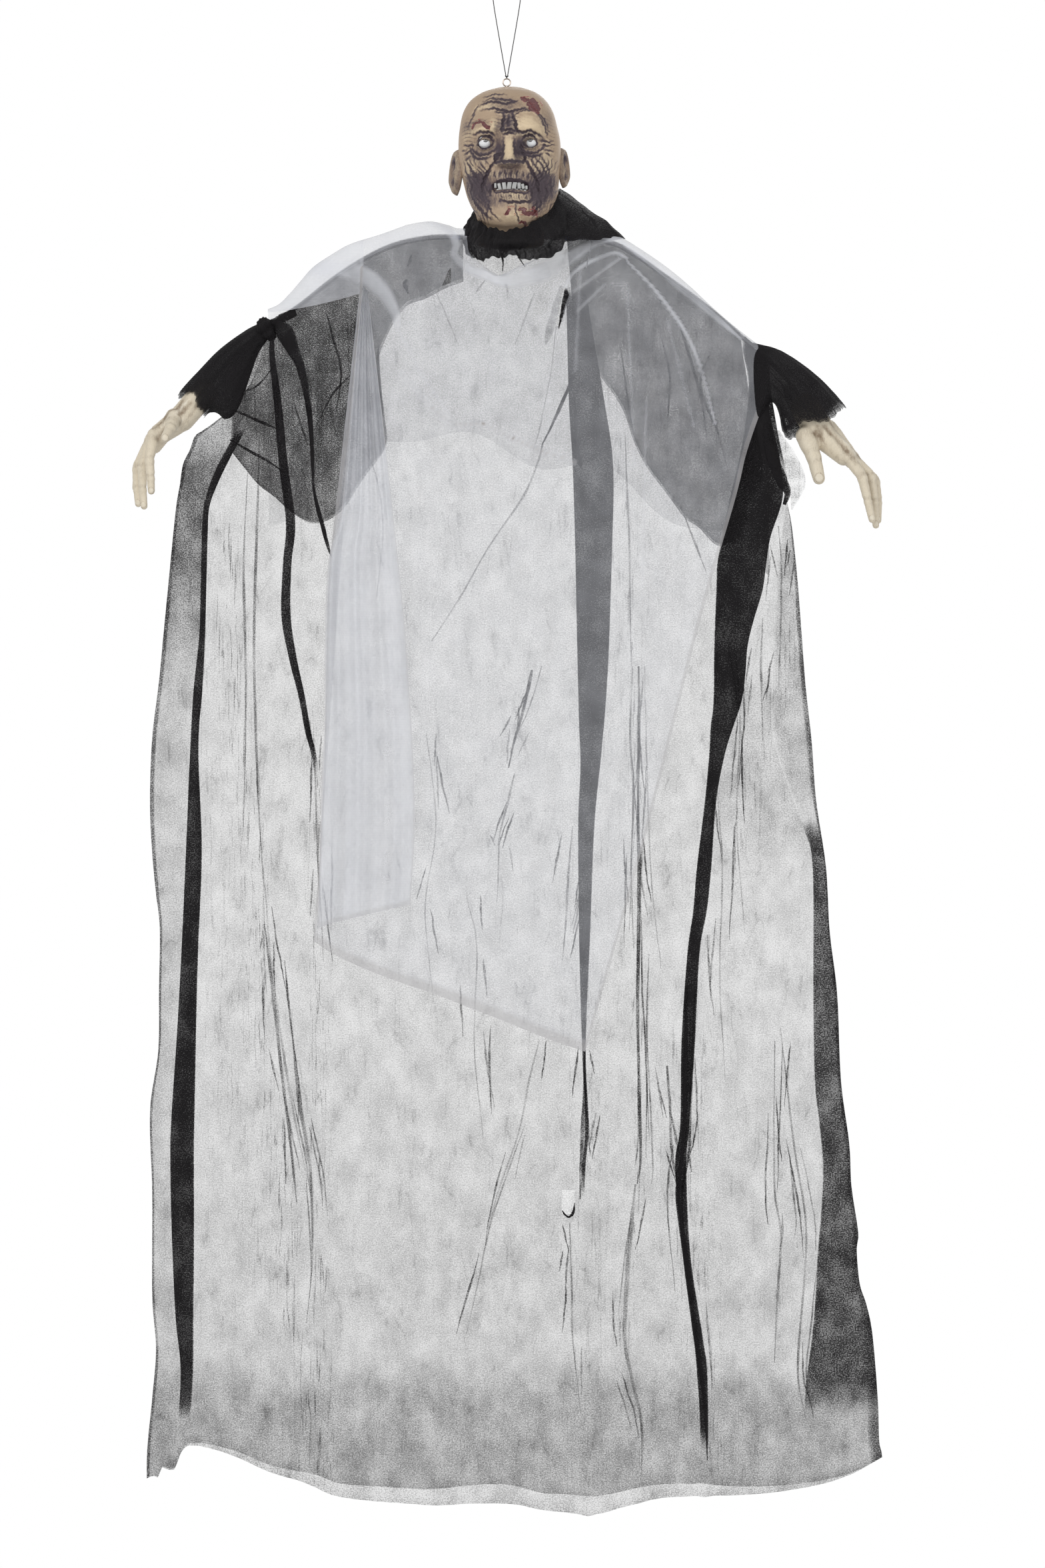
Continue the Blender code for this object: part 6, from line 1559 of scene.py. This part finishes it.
veil_top = line_height([
    (-323, -440), (-318, -436), (-303, -429), (-288, -414), (-275, -399), (-258, -380), (-233, -363),
    (-208, -349), (-170, -337), (-142, -327), (-130, -323), (-102, -319), (-78, -324), (-56, -330),
    (18, -335), (93, -338), (101, -335), (116, -333), (146, -339), (161, -345), (205, -374), (240, -402),
    (281, -440), (316, -469), (350, -494)])
neckline = line_height([
    (-56, -332), (-53, -341), (-49, -364), (-34, -379), (-18, -392), (-4, -398), (14, -389), (29, -381),
    (53, -366), (75, -352), (93, -341), (106, -336), (114, -335)])
NECK_LEFT, NECK_RIGHT = -0.055, 0.113


def veil_place(i, j):
    top = VEIL_BACK + VEIL_ARC
    side = np.where(j > top, -1.0, 1.0)
    step = np.abs(j - top)
    x0 = veil_tops[i]
    push = 0.060 * neck_share(x0) ** 0.6
    start_z = np.where(i < SHORT, np.maximum(wire_height(x0), short_edge(x0)), wire_height(x0))
    high = np.maximum(veil_top(x0) - start_z, 0.3 * VEIL_LAYER)
    layer = VEIL_LAYER + 0.30 * (high - VEIL_LAYER)
    angle = np.pi / 2 * np.minimum(step / VEIL_ARC, 1)
    at_neck = (x0 > NECK_LEFT) & (x0 < NECK_RIGHT)
    start_z = np.where(at_neck & (side < 0), neckline(x0), start_z)
    z_arc = start_z + np.where(at_neck, 0.001, high) * np.cos(angle)
    y_arc = push + layer * np.sin(angle)
    low = step > VEIL_ARC
    # front panel
    w = (np.maximum(step - VEIL_ARC, 0) / VEIL_FRONT) ** 1.55
    t = np.clip((i - SHORT) / (len(veil_tops) - 1 - SHORT), 0, 1)
    end_x = veil_left(-1.285) * (1 - t) + veil_right(-1.427) * t
    zf = start_z + (veil_hem(end_x) - start_z) * w
    is_short = i < SHORT
    zf = np.where(is_short, start_z + (short_edge(x0) - start_z) * np.minimum(w * 30, 1), zf)
    drop = wire_height(x0) - zf
    pull = ease(drop / 0.14)
    xf = x0 * (1 - pull) + (veil_left(zf) * (1 - t) + veil_right(zf) * t) * pull
    xf = np.where(is_short, x0, xf)
    ripple = 0.0014 * np.sin(xf * 150 + 5 * np.sin(zf * 9)) + 0.0008 * np.sin(xf * 260 - zf * 30)
    ripple *= ease(drop / 0.2)
    clear = 0.0165 * ease(drop / 0.12) + ripple + (layer - VEIL_LAYER) * np.exp(-drop.clip(0) / 0.08)
    yf = VEIL_LAYER + push * np.exp(-drop.clip(0) / 0.25) + robe_depth(xf, zf)
    yf += soft_waves(xf, zf, drop, 3) + clear
    yf += 0.0045 * band_share(xf, zf)
    # back panel
    wb = np.maximum(step - VEIL_ARC, 0) / VEIL_BACK
    hem_back = 0.28 + 0.03 * np.sin(x0 * 9) + 0.012 * np.sin(x0 * 37)
    zb = start_z - hem_back * wb
    drop_b = start_z - zb
    yb = VEIL_LAYER + push * np.exp(-drop_b / 0.25) + robe_depth(x0, zb) + soft_waves(x0, zb, drop_b, 8)
    yb += 0.010 * ease(wb * 3) + (layer - VEIL_LAYER) * np.exp(-drop_b / 0.08)
    yb += 0.004 * np.sin(x0 * 60) * ease(wb * 2)
    x = np.where(low & (side < 0), xf, x0)
    z = np.where(low, np.where(side < 0, zf, zb), z_arc)
    y = np.where(low, np.where(side < 0, yf, yb), y_arc)
    return (np.stack([x, side * np.maximum(y, 0.0), z], axis=1),
            np.stack([x + 0.1 * (x0 - x), z + 0.3 * side], axis=1))


# The rolled bands of the veil: x, z and half width in mm
BANDS = [
    [(-106, -321, 2), (-96, -324, 3.5), (-75, -334, 5), (-67, -351, 5.2), (-70, -364, 4.6),
     (-61, -376, 5.2), (-47, -388, 6), (-25, -397, 6.8), (-5, -404, 7.8), (20, -401, 10), (49, -389, 12),
     (67, -376, 11.2), (89, -364, 8.8), (111, -351, 6.2), (136, -343, 4.4), (153, -342, 2.6)],
    [(76, -415, 2), (85, -393, 2.6), (100, -380, 2.8), (122, -369, 2.8), (144, -362, 2.6),
     (160, -369, 1.8)],
    [(-262, -385, 8), (-231, -382, 10), (-204, -387, 11), (-181, -398, 11), (-164, -415, 10),
     (-151, -437, 7.5), (-142, -461, 2.5)],
    [(151, -346, 2), (200, -382, 4.2), (240, -415, 5), (280, -449, 4.2), (311, -476, 2)],
    [(160, -373, 1.2), (200, -415, 2.2), (238, -469, 2.6), (259, -522, 2.2), (277, -593, 1)]]


def band_share(x, z):
    """1 on the veil's rolled bands, falling off sharply at their edges."""
    share = np.zeros_like(x)
    for band in BANDS:
        line = 0.001 * smooth_line(band, 4)
        for a, b in zip(line, line[1:]):
            run = (b - a)[:2]
            t = np.clip(((x - a[0]) * run[0] + (z - a[1]) * run[1]) / (run @ run), 0, 1)
            off = np.hypot(x - a[0] - t * run[0], z - a[1] - t * run[1])
            wide = a[2] + t * (b[2] - a[2])
            rolled = ease((wide * 1.35 - off) / (0.8 * wide))
            share = np.maximum(share, rolled * (0.7 + 0.3 * np.sin(90 * x + 70 * z)))
    return share


def veil_masks(p, i, j):
    top = VEIL_BACK + VEIL_ARC
    front = j > top
    step = np.abs(j - top)
    x, z = p[:, 0], p[:, 2]
    layers = np.ones_like(z)
    hem = front & (step >= VEIL_ARC + VEIL_FRONT - 1)
    side_edge = (i >= len(veil_tops) - 3) | ((i >= SHORT) & (i < SHORT + 2) & front)
    layers += np.where(hem, 2.2, 0) + np.where(side_edge, 1.4, 0)
    shade = np.where(hem | (side_edge & (step > VEIL_ARC + 8)), 0.55, 0.0)
    layers += np.where(front, 2.8 * band_share(x, z), 0)
    layers += np.where((i < SHORT) & front, 0.8, 0)
    layers += np.where((step < VEIL_ARC + 3), 0.5, 0)
    for a, b, wide, strength in VEIL_LINES:
        (x0, z0), (x1, z1) = 0.001 * np.array((a, b))
        t = np.clip(((x - x0) * (x1 - x0) + (z - z0) * (z1 - z0))
                    / ((x1 - x0) ** 2 + (z1 - z0) ** 2), 0, 1)
        off = np.hypot(x - x0 - t * (x1 - x0), z - z0 - t * (z1 - z0))
        rolled = np.where(front, np.exp(-(1000 * off / wide) ** 2), 0)
        layers += 1.6 * strength * rolled
        shade += 0.6 * min(strength / 1.8, 1) ** 2 * rolled
    return {"layers": layers, "shade": np.clip(shade, 0, 1)}


# Thin rolled lines: two ends, half width in mm and strength
VEIL_LINES = [
    ((-142, -522), (-98, -571), 2.2, 1.2), ((-98, -571), (-71, -593), 2.2, 1.6),
    ((-71, -593), (-31, -593), 2.2, 1.8), ((-31, -593), (9, -612), 2.2, 1.8),
    ((9, -612), (49, -630), 2.8, 2), ((49, -630), (91, -642), 2.2, 1.8),
    ((-151, -451), (-115, -522), 2, 0.5), ((-115, -522), (-62, -602), 2, 0.5),
    ((185, -557), (179, -824), 1.6, 0.6), ((213, -451), (248, -593), 2, 0.4),
    ((160, -406), (169, -646), 2, 0.4), ((98, -380), (91, -522), 2, 0.5),
    ((89, -415), (155, -366), 2, 0.9), ((93, -442), (129, -406), 2, 0.7)]


def veil_gap(p, i, j):
    top = VEIL_BACK + VEIL_ARC
    step = np.abs(j - top)
    x0 = veil_tops[i]
    near = (x0 > NECK_LEFT) & (x0 < NECK_RIGHT) & (step < VEIL_ARC)
    short = (i < SHORT - 1) & (j > top) & (step > VEIL_ARC + 22)
    y = TOP_PX - p[:, 2] / PIXEL
    x = MIDDLE_PX + p[:, 0] / PIXEL
    in_slit = np.abs(x - 847.5 + 0.21 * (y - 440)) < 5.2 - 0.09 * (y - 440)
    slit = (j > top) & (y > 438) & (y < 498) & in_slit
    return np.nonzero(near | short | slit)[0]


veil = cloth_piece("veil", len(veil_tops), VEIL_BACK + 2 * VEIL_ARC + VEIL_FRONT + 1, veil_place,
                   veil_masks, voile, veil_gap)
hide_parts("veil")

# Veil tail. The narrow end of the same voile, doubled, that falls from the left
# shoulder in front of the veil.
tail_left = line_side([
    (-189, -405), (-193, -427), (-202, -522), (-217, -698), (-233, -761), (-238, -816), (-240, -900),
    (-240, -987), (-243, -1042), (-246, -1149), (-249, -1267)])
tail_right = line_side([
    (-185, -405), (-181, -442), (-160, -617), (-148, -725), (-137, -824), (-129, -923), (-122, -1042),
    (-121, -1141), (-129, -1267)])


def tail_place(i, j):
    u = i / 79
    w = j / 199
    start = -0.409 - 0.004 * u
    end_z = np.interp(u, [0, 0.18, 0.62, 1], [-1.258, -1.250, -1.237, -1.226])
    z = start + (end_z - start) * w
    x = tail_left(z) * (1 - u) + tail_right(z) * u
    pleat = 0.004 * np.sin(u * 19 + 2 * w) * ease(w * 4) + 0.002 * np.sin(u * 41 - 3 * w)
    drop = start - z
    y = (VEIL_LAYER + 0.010 + robe_depth(x, z) + 0.024 * ease(drop / 0.12) + pleat
         + soft_waves(x, z, drop, 3))
    return np.stack([x, -y, z], axis=1), np.stack([x * 1.2 + 2, z], axis=1)


def tail_masks(p, i, j):
    u = i / 79
    w = j / 199
    edge = (i < 2) | (i > 77) | (j > 197)
    layers = 2.2 + np.where(edge, 1.2, 0) + 0.8 * bump((u - 0.35) / 0.12) * ease(w * 3)
    layers -= 0.5 * bump((u - 0.7) / 0.2)
    return {"layers": layers, "shade": np.where(edge, 0.35, 0.0)}


veil_tail = cloth_piece("veil_tail", 80, 200, tail_place, tail_masks, voile)
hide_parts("veil_tail")
